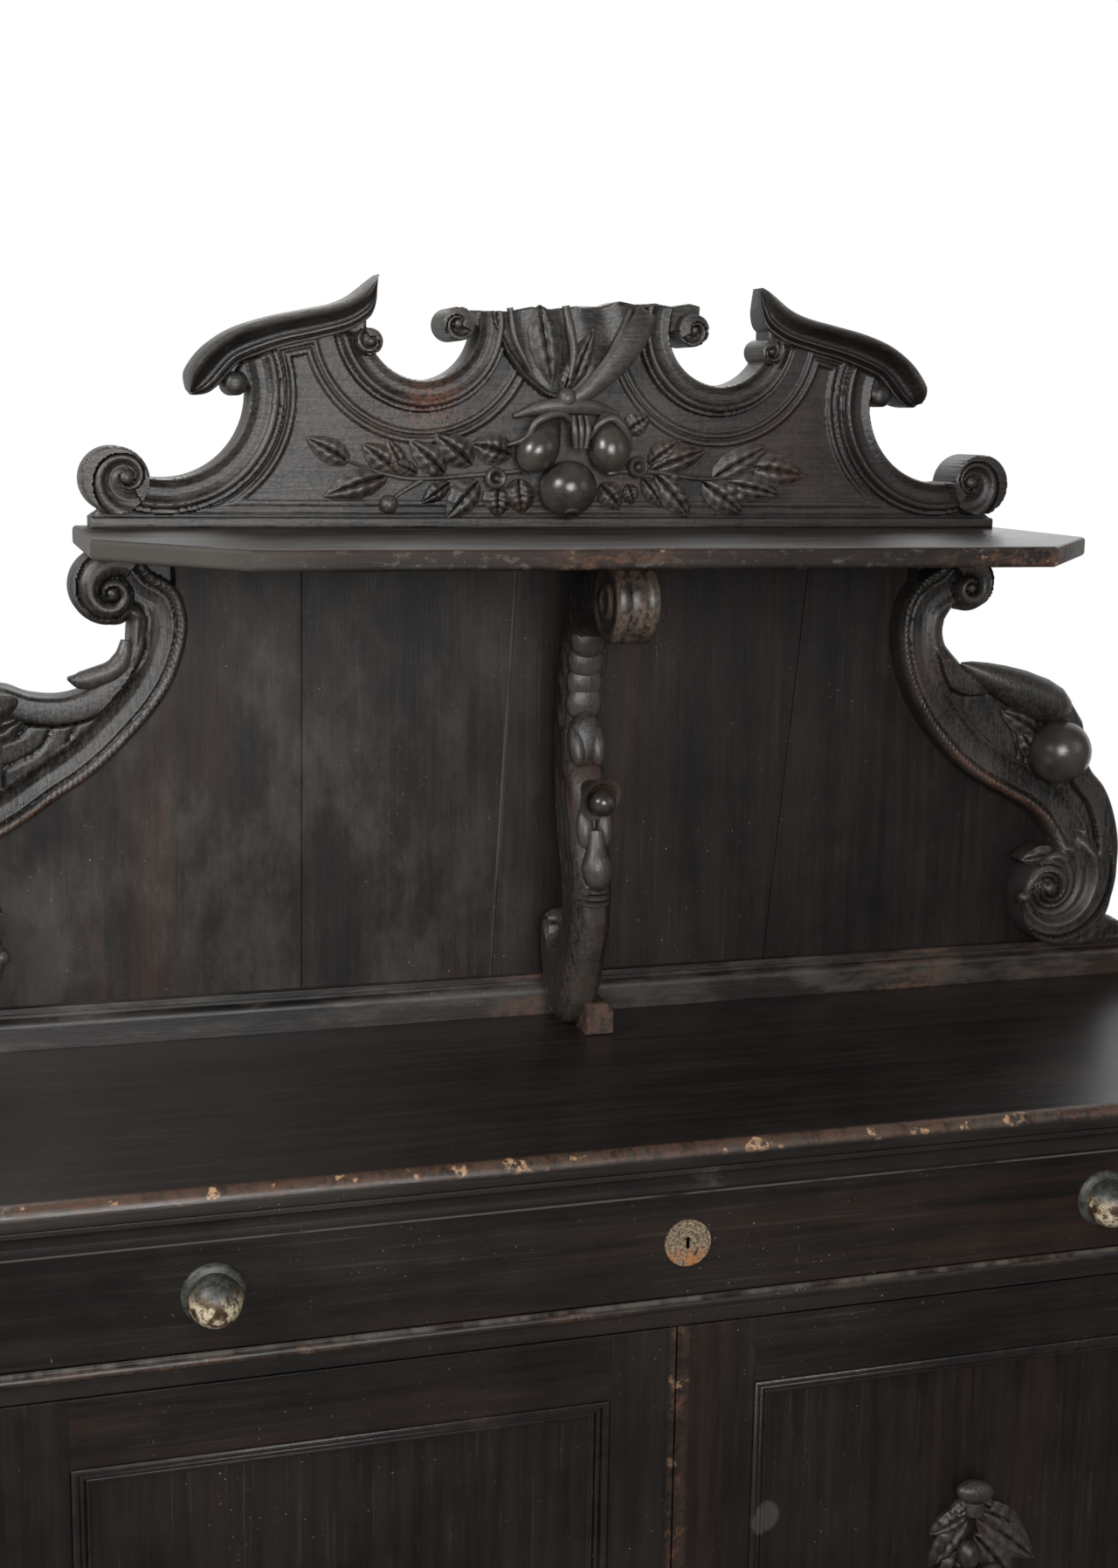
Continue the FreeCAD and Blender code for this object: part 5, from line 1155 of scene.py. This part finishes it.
BRACKET_BLACK = carved_black("bracket_black", tint=0.06)
ROLL_RUBBED = carved_black("roll_rubbed", roll_rubbing, tint=-0.05, bare=shade(116, 96, 82))
for name, shells, finish in (
    ("console_bracket_carved", bracket, BRACKET_BLACK),
    ("console_bracket_roll", roll, ROLL_RUBBED),
    ("console_bracket_nut", nuts, FRUIT_BLACK),
):
    placed = [onto_bracket(shell) for shell in shells]
    made(name, placed, finish, "console_bracket", CARVED_CREASE)
BLOCK_TOP = [(4, 0), (38, 0), (38, 26), (36, 33), (31, 37), (22, 38.5), (4, 38.5)]
BLOCK_MIDDLE = (21, 19)
BLOCK_LIFT = 0.2
BLOCK_RINGS = [(120.0, 0.94), (121.5, 1.0), (171.5, 1.0), (173.0, 0.94)]
block_rings = []
for depth, ease in BLOCK_RINGS:
    ring = []
    for x, h in BLOCK_TOP:
        eased_x = BLOCK_MIDDLE[0] + (x - BLOCK_MIDDLE[0]) * ease
        eased_h = BLOCK_MIDDLE[1] + (h - BLOCK_MIDDLE[1]) * ease
        ring.append((eased_x, depth, worktop_top + BLOCK_LIFT + eased_h))
    block_rings.append(ring)


def block_rubbing(place):
    """Bare wood over most of the block."""
    return place.noise(EVEN, 40.0, 4.0, 0.6).rise(0.2, 0.6)


BLOCK_RED = ebonised("foot_block_red", GRAIN_ACROSS, block_rubbing, dull=0.5, russet=1.0, chipped=0.0)
made("bracket_foot_block_worn", [lofted(block_rings)], BLOCK_RED, "bracket_foot_block")


# The gallery shelf: one board with cut front corners, set on the back, the wings and the bracket.
# Dust lies on its top. Its edge is blotched, rubbed pale at the ends and bare in two places.
shelf_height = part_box("gallery_shelf")[1][2]


def shelf_edge(place):
    """The shelf's edge: all of it that lies below the top face."""
    return place.along("Z").rise(shelf_height - 0.0005, shelf_height - 0.0025)


def shelf_haze(place):
    """Dust on the shelf. Its edge is blotched, and rubbed pale towards both ends."""
    edge = shelf_edge(place)
    clouds = place.noise((0.25, 1.0, 1.0), 34.0, 7.0, 0.72).rise(0.42, 0.7)
    blotches = place.noise((0.5, 1.0, 1.0), 80.0, 6.0, 0.75).rise(0.55, 0.63)
    across = place.along("X")
    pale_ends = across.rise(-0.32, -0.48) * 0.4 | across.rise(0.47, 0.53) * 0.7
    return clouds * (1.0 - edge) * 0.46 | (blotches * 0.5 | pale_ends) * edge


def shelf_polish(place):
    """Polish left on the top of the shelf's right end."""
    return (1.0 - shelf_edge(place)) * place.along("X").rise(0.0, 0.5)


def shelf_wear(place):
    """Bare wood on the shelf's edge, left of the middle and towards the right corner."""
    across = place.along("X")
    patches = across.between(-0.12, -0.01, 0.03) | across.between(0.3, 0.5, 0.04)
    return shelf_edge(place) * patches * place.noise((1.0, 1.0, 2.0), 40.0, 5.0, 0.68).rise(0.44, 0.58)


SHELF_BLACK = ebonised(
    "shelf_black",
    GRAIN_ACROSS,
    shelf_wear,
    shelf_haze,
    dull=0.55,
    russet=0.3,
    sheen=BOARD_SHEEN,
    chipped=0.7,
    gloss=shelf_polish,
)
dress(SHELF_BLACK, "gallery_shelf")


# The pediment: one thick board, sawn to scrolls and carved in relief, and glued and nailed to the shelf.
# Coved bands with a bead run round its four bays and end in spiral volutes, and a draped cartouche
# stands in the middle.
def arc(centre, radius, start, stop, count):
    """Points on an arc, by its angles in degrees."""
    turn = np.radians(np.linspace(start, stop, count))
    return np.column_stack([centre[0] + radius * np.cos(turn), centre[1] + radius * np.sin(turn)])


BAY = (471.0, 150.0)
BAY_RADIUS = 95.0
UPPER_BAY = (180.0, 232.0)
UPPER_RADIUS = 65.0
VOLUTE = (525.0, 53.0)
VOLUTE_RADIUS = 37.0
VOLUTE_EYE = (513.0, 56.0)
LIP = (391.0, 159.0)
LIP_RADIUS = 13.0
CURL = (243.0, 208.0)
CURL_RADIUS = 15.0
ROLL = (141.0, 230.0)
ROLL_RADIUS = 19.0
VOLUTE_WHORL = (VOLUTE_EYE, 54.0, 0.2, -120.0, 8.5)
CURL_WHORL = ((CURL[0] - 2.0, CURL[1]), 24.0, 0.25, 60.0, 5.0, -1)
ROLL_WHORL = ((ROLL[0] + 1.0, ROLL[1]), 27.0, 0.25, -150.0, 5.5)
# Scroll ends: the middle, the radius, the rise of the ground, the height of the band over it, and its whorl.
SCROLLS = [
    (VOLUTE, VOLUTE_RADIUS, 14.0, 9.0, VOLUTE_WHORL),
    (CURL, CURL_RADIUS, 14.0, 7.0, CURL_WHORL),
    (ROLL, ROLL_RADIUS, 17.0, 7.0, ROLL_WHORL),
]
PLINTH_HEIGHT = 12.0
PEDIMENT_STEP = 1.4
shelf_top = shelf_height / MM
board_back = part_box("pediment_board")[1][1] / MM
GROUND_DEPTH = 208.0
right_half = [(0.0, 0.0), (552.0, 0.0), (552.0, PLINTH_HEIGHT), (540.0, 20.0), VOLUTE]
right_half += arc(BAY, BAY_RADIUS, -58, -183, 60).tolist()
right_half += [LIP, (405, 174), (397, 192), (374, 208), (345, 217), (306, 226), (271, 237)]
right_half += [(252.0, 248.0), (243.0, 232.0), CURL]
right_half += arc(UPPER_BAY, UPPER_RADIUS, -12, -176, 60).tolist()
top_right = [
    ROLL, (152, 243), (153, 258), (140, 261), (118, 257), (98, 260), (72, 258), (52, 261), (30, 254),
    (0, 254),
]
top_left = [(-30, 250), (-52, 252), (-80, 246), (-152, 246), (-153, 240), (-ROLL[0], ROLL[1])]
left_half = [(-x, h) for x, h in reversed(right_half)]
PEDIMENT_OUTLINE = right_half + top_right + top_left + left_half[:-1]


def pediment_rim(x, h):
    """Distance inside the pediment's outline and its round scroll ends."""
    a = np.abs(x)
    whole = np.maximum(within(PEDIMENT_OUTLINE, x, h), disc(a, h, LIP, LIP_RADIUS))
    for centre, radius, *_ in SCROLLS:
        whole = np.maximum(whole, disc(a, h, centre, radius))
    return whole


BAND_AT = [0, 1.5, 5, 11, 18, 24, 26, 29, 32, 33.5, 35, 36, 39, 40]
BAND_RISE = [11, 12.5, 11, 8.5, 8.5, 11, 14.5, 16, 14.5, 8.5, 8, 9, 8.5, 0]
FILLET_AT = [-11, -8.5, -6, -4, -2, 0.5, 3.5, 6]
FILLET_RISE = [0, 2.6, 2.6, 0.4, 0.6, 3.4, 3.4, 0]
LAPPET = [
    (-104, 264), (-99, 232), (-84, 200), (-62, 172), (-36, 152), (-11, 144), (12, 150), (36, 166),
    (58, 192), (74, 224), (86, 264),
]
UNDER_CAP_AT = [231, 271, 345, 382, 400]
UNDER_CAP = [206, 208, 190, 176, 150]
LOWER_MARGIN = 48.0
UPPER_MARGIN = 66.0
PANEL_FOOT = 26.0
PLINTH_RISE = 9.0
CLOTH_RISE = 10.0
LIP_RISE = 10.0
LIP_SWELL = 7.0


def pediment_relief(x, h, rim):
    """Depth of the pediment's front: fillets round the panel, bands, plinth, cloth and scroll ends."""
    a = np.abs(x)
    lower = np.hypot(a - BAY[0], h - BAY[1]) - BAY_RADIUS
    upper = np.hypot(a - UPPER_BAY[0], h - UPPER_BAY[1]) - UPPER_RADIUS
    under_cap = np.interp(a, UNDER_CAP_AT, UNDER_CAP)
    margins = [lower - LOWER_MARGIN, upper - UPPER_MARGIN, under_cap - h, h - PANEL_FOOT]
    panel = np.minimum.reduce(margins)
    fillet = np.interp(panel, FILLET_AT, FILLET_RISE)
    rise = np.maximum(fillet * np.interp(h, [34.0, 60.0], [0.35, 1.0]), 0.0)
    lower_band = np.interp(lower, BAND_AT, BAND_RISE)
    upper_band = np.interp(upper * 40.0 / 36.0, BAND_AT, BAND_RISE)
    bands = np.maximum(lower_band, upper_band)
    tucked = np.where(a > UNDER_CAP_AT[0], np.clip((under_cap + 14.0 - h) / 10.0, 0.35, 1.0), 1.0)
    rise = np.maximum(rise, bands * tucked)
    plinth = PLINTH_RISE - 0.35 * np.maximum(h - 9.0, 0.0)
    rise = np.where(h < PLINTH_HEIGHT, np.maximum(rise, plinth), rise)
    lappet = within(LAPPET, x, h)
    folds = 1.8 * np.sin(x / 8.0 + 1.3 * np.sin(h / 36.0)) * np.clip(lappet / 12.0, 0.0, 1.0)
    hem = 4.0 * np.exp(-(((lappet - 3.0) / 2.4) ** 2))
    cloth = (CLOTH_RISE + folds + hem) * np.clip(lappet / 2.0, 0.0, 1.0)
    rise = np.maximum(rise, cloth)
    for centre, radius, ground, height, coil in SCROLLS:
        scroll = ground + height * whorl(a, h, *coil)
        rise = np.where(disc(a, h, centre, radius) > 0, scroll, rise)
    from_lip = np.hypot(a - LIP[0], h - LIP[1]) / LIP_RADIUS
    lip = LIP_RISE + LIP_SWELL * np.sqrt(np.maximum(1.0 - from_lip**2, 0.0))
    rise = np.where(disc(a, h, LIP, LIP_RADIUS) > 0, np.maximum(rise, lip), rise)
    worn_edge = np.clip(1.0 - rim / 2.5, 0.0, 1.0)
    return GROUND_DEPTH - rise + 2.2 * worn_edge**2


BAY_PATCH = (-0.168, 0.195, 1.736)


def bay_rubbing(place):
    """Reddish patch on the band of the upper left bay."""
    return place.away(BAY_PATCH).rise(0.05, 0.01) * 0.6


def painted_right_shade(place):
    """Painted shade: the stain darkened towards the right end, away from the light."""
    return place.along("X").rise(0.0, 0.42) * 0.68


# The pediment's finish has painted shade towards its right end.
PEDIMENT_BLACK = carved_black(
    "pediment_black", bay_rubbing, grain=GRAIN_ACROSS, bare=shade(104, 66, 50), shaded=painted_right_shade
)
PEDIMENT_SPAN = ((-566.0, 567.0), (0.0, 266.0))
board = carved(pediment_rim, pediment_relief, PEDIMENT_SPAN, PEDIMENT_STEP, board_back)
made("pediment_carved", [lifted(board, shelf_top)], PEDIMENT_BLACK, "pediment_board")


# The pediment's caps: two horn-shaped mouldings, worked by hand to the curve and glued on top of the board.
# Their upper nose is rounded and rubbed pale, and a hollow runs below it down to a small bead.
CAP_TOP = [
    (447, 157), (443, 173), (431, 191), (416, 205), (392, 220), (358, 232), (318, 241), (283, 249),
    (258, 260), (231, 282),
]
CAP_FOOT = [
    (438, 146), (420, 163), (399, 186), (380, 197), (344, 210), (306, 219), (269, 229), (246, 242),
    (234, 256), (229, 268),
]
CAP_SECTION = [
    (0, 242.5), (0, 191), (0.03, 184), (0.1, 179), (0.2, 176.5), (0.32, 177), (0.42, 180), (0.5, 185),
    (0.58, 190), (0.72, 194.5), (0.88, 196), (1, 195), (1.06, 193), (1.12, 193), (1.16, 196),
    (1.18, 200.5), (1.26, 200), (1.32, 198), (1.4, 198.5), (1.44, 202), (1.44, 242.5),
]
CAP_STATIONS = 70
CAP_LOWER_NOSE = 5.0
CAP_HORN_NOSE = 9.0
CAP_CORE = 212.0
cap_top = smooth_line(CAP_TOP, CAP_STATIONS)
cap_foot = smooth_line(CAP_FOOT, CAP_STATIONS)
cap_rings = []
for station, (upper, lower) in enumerate(zip(cap_top, cap_foot)):
    near = min((station + 0.4) / CAP_LOWER_NOSE, (CAP_STATIONS - 1 - station + 0.4) / CAP_HORN_NOSE, 1.0)
    full = math.sqrt(1.0 - (1.0 - near) ** 2)
    middle = 0.0 if station > CAP_STATIONS / 2 else 0.7
    ring = []
    for part, depth in CAP_SECTION:
        x, h = upper + (lower - upper) * (middle + (part - middle) * full)
        ring.append((x, CAP_CORE + (depth - CAP_CORE) * (0.3 + 0.7 * full), h + shelf_top))
    cap_rings.append(ring)
cap = lofted(cap_rings)
made("pediment_caps_carved", [cap, mirrored(cap)], PEDIMENT_BLACK, "pediment_caps", CARVED_CREASE)


# The pediment's swag: a ribbon knot, two pears, a round fruit, rosettes and laurel sprays on each side.
# Carved in one with small planted blocks, undercut, and polished brightest on the fruit, whose grey is partly
# a painted sheen.
swag = []
fruit = []
PEAR = [
    (-38, 2), (-36, 8), (-30, 17), (-20, 24.5), (-8, 28), (4, 27), (15, 22.5), (24, 17), (32, 13),
    (39, 9), (43, 3),
]
CALYX = [(-3.0, 2.0), (-2.0, 6.5), (1.5, 7.0), (2.5, 4.0), (0.5, 1.0)]
CALYX_DROP = 34.0
PEAR_LENGTH = 0.92
PEAR_GIRTH = 0.86
PEAR_STAND = 22.0
APPLE_STAND = 26.0
BUD_STAND = 7.0
BERRY_STAND = 5.0
KNOT_STAND = 16.0
pear = [(PEAR_LENGTH * along, PEAR_GIRTH * radius) for along, radius in PEAR]
for centre, lean in (((-44.0, 95.0), -0.7), ((40.0, 97.0), 0.06)):
    middle = np.array((centre[0], GROUND_DEPTH - PEAR_STAND, centre[1]))
    upward = np.array((-lean, 0.25, 1.0))
    fruit.append(turned(pear, middle, upward, 40))
    downward = -upward / np.linalg.norm(upward)
    swag.append(turned(CALYX, middle + downward * CALYX_DROP, downward, 14))
APPLE = (-10.0, 47.0)
apple_middle = np.array((APPLE[0], GROUND_DEPTH - APPLE_STAND, APPLE[1]))
fruit.append(turned(globe(33.0, 0.97, 24), apple_middle, (0.0, 0.25, 1.0), 44))
APPLE_CUP = [(-4, 1), (-3, 9.5), (2, 10), (3, 6.5), (1, 0.6)]
swag.append(turned(APPLE_CUP, apple_middle + (0, -15.0, -28.0), (0, -0.6, -1), 16))
RING_BUD = [(-8, 5), (-4, 10.5), (3, 12.8), (8, 12.2), (10, 9.8), (8.5, 7.2), (4, 5.6), (2, 1)]
for centre in ((-94.0, 57.0), (79.0, 71.0)):
    swag.append(turned(RING_BUD, (centre[0], GROUND_DEPTH - BUD_STAND, centre[1]), (0.1, -1, 0.1), 24))
LEAF_REACH = 1.02
LEAF_BREADTH = 1.18
LEAF_RISE = 11.0
LEAF_SINK = 3.0
LEAF_CURL = 0.07
SPRAYS = [
    (-263, 74, -304, 104, 25), (-218, 60, -288, 41, 29), (-206, 62, -241, 98, 27),
    (-201, 62, -213, 102, 19), (-152, 62, -187, 102, 27), (-119, 72, -158, 110, 30),
    (-112, 54, -150, 13, 30), (-146, 52, -177, 31, 18), (-88, 50, -90, 13, 30), (-64, 57, -61, 16, 32),
    (-72, 84, -118, 100, 32), (-184, 62, -214, 78, 16), (226, 72, 290, 67, 33), (176, 58, 240, 103, 29),
    (98, 67, 164, 98, 26), (96, 76, 130, 106, 22), (104, 63, 149, 16, 30), (88, 59, 114, 26, 19),
    (70, 51, 77, 28, 18), (36, 51, 62, 24, 26), (164, 54, 215, 20, 30), (194, 54, 262, 43, 25),
    (66, 112, 92, 134, 24),
]
for root_x, root_h, tip_x, tip_h, width in SPRAYS:
    curl = LEAF_CURL if tip_x < 0 else -LEAF_CURL
    tip = (LEAF_REACH * tip_x, tip_h)
    root = (root_x, root_h)
    breadth = LEAF_BREADTH * width
    swag.append(leaf(root, tip, breadth, LEAF_RISE, LEAF_SINK, curl, LEAF_VEINS, GROUND_DEPTH))
STEM_THICKNESS = 7.0
STEM_WIDTHS = [6.5, 6.0, 5.0, 3.5]
STEMS = [
    [(-60, 6, 66), (-115, 5, 61), (-185, 5, 56), (-225, 4, 62), (-268, 3, 77)],
    [(50, 6, 66), (100, 5, 66), (170, 5, 58), (235, 4, 71)],
    [(-180, 5, 54), (-204, 5, 40), (-216, 6, 30)],
]
for stem in STEMS:
    swag.append(strand(stem, STEM_WIDTHS, STEM_THICKNESS, GROUND_DEPTH))
BERRIES = [(-218, 27, 11), (-166, 66, 6.5), (200, 46, 8), (212, 38, 6.5), (128, 60, 6)]
for x, h, radius in BERRIES:
    swag.append(turned(globe(radius), (x, GROUND_DEPTH - BERRY_STAND, h), OUTWARD, 18))
RIBBON_THICKNESS = 11.0
HOODS = [
    (
        [(-8, 24, 124), (-20, 31, 131), (-36, 35, 130), (-53, 34, 121), (-63, 28, 103), (-83, 15, 95)],
        [7, 9, 10, 9, 8, 4],
    ),
    ([(14, 26, 104), (23, 33, 120), (40, 36, 127), (57, 33, 112), (67, 22, 90)], [5, 8, 10, 8, 5]),
    ([(-72, 6, 128), (-42, 17, 138), (-10, 21, 141), (24, 17, 139), (56, 6, 132)], [6, 17, 19, 17, 6]),
]
TASSEL = [([(x, 25, 130), (x, 33, 114), (0.7 * x + 1, 30, 93)], [6, 8, 7]) for x in (-6, 2, 10)]
FOLDS = [
    ([(88, 10, 250), (72, 17, 224), (48, 21, 192), (18, 21, 162), (-2, 19, 148)], [26, 33, 31, 24, 16]),
    ([(66, 10, 252), (52, 15, 222), (34, 17, 190), (10, 18, 160)], [7, 9, 8, 6]),
    ([(-12, 10, 254), (-8, 17, 228), (-4, 18, 200), (-8, 16, 172)], [9, 11, 10, 6]),
    ([(-78, 8, 250), (-72, 12, 214), (-54, 13, 180)], [7, 8, 5]),
]
for line, widths in HOODS + TASSEL + FOLDS:
    swag.append(strand(line, widths, RIBBON_THICKNESS, GROUND_DEPTH))
LAPPET_LEAVES = [(-44, 254, -28, 163, 38), (-8, 160, 22, 230, 25), (-14, 156, -2, 198, 16)]
CLOTH_DEPTH = GROUND_DEPTH - 9.0
for root_x, root_h, tip_x, tip_h, width in LAPPET_LEAVES:
    swag.append(leaf((root_x, root_h), (tip_x, tip_h), width, 10.0, 2.0, 0.0, LEAF_VEINS, CLOTH_DEPTH))
KNOT = (-11.0, 149.0)
swag.append(turned(globe(13.0, 0.9), (KNOT[0], GROUND_DEPTH - KNOT_STAND, KNOT[1]), (1, 0, 0), 20))
swag = [lifted(shell, shelf_top) for shell in swag]
fruit = [lifted(shell, shelf_top) for shell in fruit]
SWAG_BLACK = carved_black("swag_black", grain=GRAIN_ACROSS)
made("pediment_swag_carved", swag, SWAG_BLACK, "pediment_swag", CARVED_CREASE)
made("pediment_fruit_carved", fruit, FRUIT_BLACK, "pediment_swag", CARVED_CREASE)


# The room: a plain pale floor, a white background and soft light from the front, above and both sides.
# The camera stands left of the middle at the height of the shelf's carving and looks a little down.
FLOOR_REACH = 3.4
FLOOR_PALE = shade(150, 147, 142)
floor_mesh = bpy.data.meshes.new("floor")
corners = [(-FLOOR_REACH, -FLOOR_REACH, 0), (FLOOR_REACH, -FLOOR_REACH, 0)]
corners += [(FLOOR_REACH, FLOOR_REACH, 0), (-FLOOR_REACH, FLOOR_REACH, 0)]
floor_mesh.from_pydata(corners, [], [(0, 1, 2, 3)])
floor = bpy.data.objects.new("floor", floor_mesh)
bpy.context.scene.collection.objects.link(floor)
floor_finish, floor_shader, _ = new_finish("floor_pale")
floor_shader.inputs["Base Color"].default_value = FLOOR_PALE
floor_shader.inputs["Roughness"].default_value = 0.8
floor_mesh.materials.append(floor_finish)

ROOM_LIGHT = 0.16
world = bpy.data.worlds.new("studio")
bpy.context.scene.world = world
world.use_nodes = True
background = world.node_tree.nodes["Background"]
background.inputs["Color"].default_value = (1.0, 1.0, 1.0, 1.0)
rays = world.node_tree.nodes.new("ShaderNodeLightPath")
seen = Tone(world.node_tree, rays.outputs["Is Camera Ray"])
mirrored_ray = Tone(world.node_tree, rays.outputs["Is Glossy Ray"])
through = Tone(world.node_tree, rays.outputs["Is Transmission Ray"])
heading = Tone(world.node_tree, world.node_tree.nodes.new("ShaderNodeTexCoord").outputs["Generated"])
backdrop = heading.along("Y").rise(0.1, 0.35)
shown = seen | through | mirrored_ray * backdrop
(shown + (1.0 - shown) * ROOM_LIGHT).feed(background, "Strength")


def softbox(name, place, aim, size, power):
    """Square soft lamp at a place, turned to its aim."""
    lamp = bpy.data.lights.new(name, "AREA")
    lamp.size = size
    lamp.energy = power
    holder = bpy.data.objects.new(name, lamp)
    holder.location = place
    holder.rotation_euler = (Vector(aim) - Vector(place)).to_track_quat("-Z", "Y").to_euler()
    bpy.context.scene.collection.objects.link(holder)


softbox("window_front", (-0.5, -3.0, 2.05), (-0.4, 0.2, 3.6), 1.3, 95.0)
softbox("key_left", (-2.3, -1.0, 2.6), (-0.2, 0.2, 1.5), 0.8, 55.0)
softbox("fill_right", (2.6, -2.2, 2.4), (0.2, 0.0, 1.3), 1.4, 9.0)
softbox("top_rear", (0.3, 1.9, 3.4), (0.0, 0.1, 1.3), 2.0, 40.0)

CAMERA_PLACE = Vector((-0.7269, -2.1188, 1.7224))
CAMERA_YAW = math.radians(17.17)
CAMERA_PITCH = math.radians(10.09)
CAMERA_ROLL = math.radians(0.9)
FOCAL_PIXELS = 2357.9
IMAGE_HEIGHT = 1796
camera = bpy.data.objects.new("camera", bpy.data.cameras.new("camera"))
ahead = Vector(
    (
        math.sin(CAMERA_YAW) * math.cos(CAMERA_PITCH),
        math.cos(CAMERA_YAW) * math.cos(CAMERA_PITCH),
        -math.sin(CAMERA_PITCH),
    )
)
level = Vector((math.cos(CAMERA_YAW), -math.sin(CAMERA_YAW), 0.0))
above = level.cross(ahead)
right = level * math.cos(CAMERA_ROLL) + above * math.sin(CAMERA_ROLL)
up = above * math.cos(CAMERA_ROLL) - level * math.sin(CAMERA_ROLL)
camera.matrix_world = Matrix.Translation(CAMERA_PLACE) @ Matrix((right, up, -ahead)).transposed().to_4x4()
camera.data.sensor_width = 36.0
camera.data.lens = FOCAL_PIXELS / IMAGE_HEIGHT * camera.data.sensor_width
bpy.context.scene.collection.objects.link(camera)
bpy.context.scene.camera = camera
bpy.context.scene.view_settings.view_transform = "Standard"
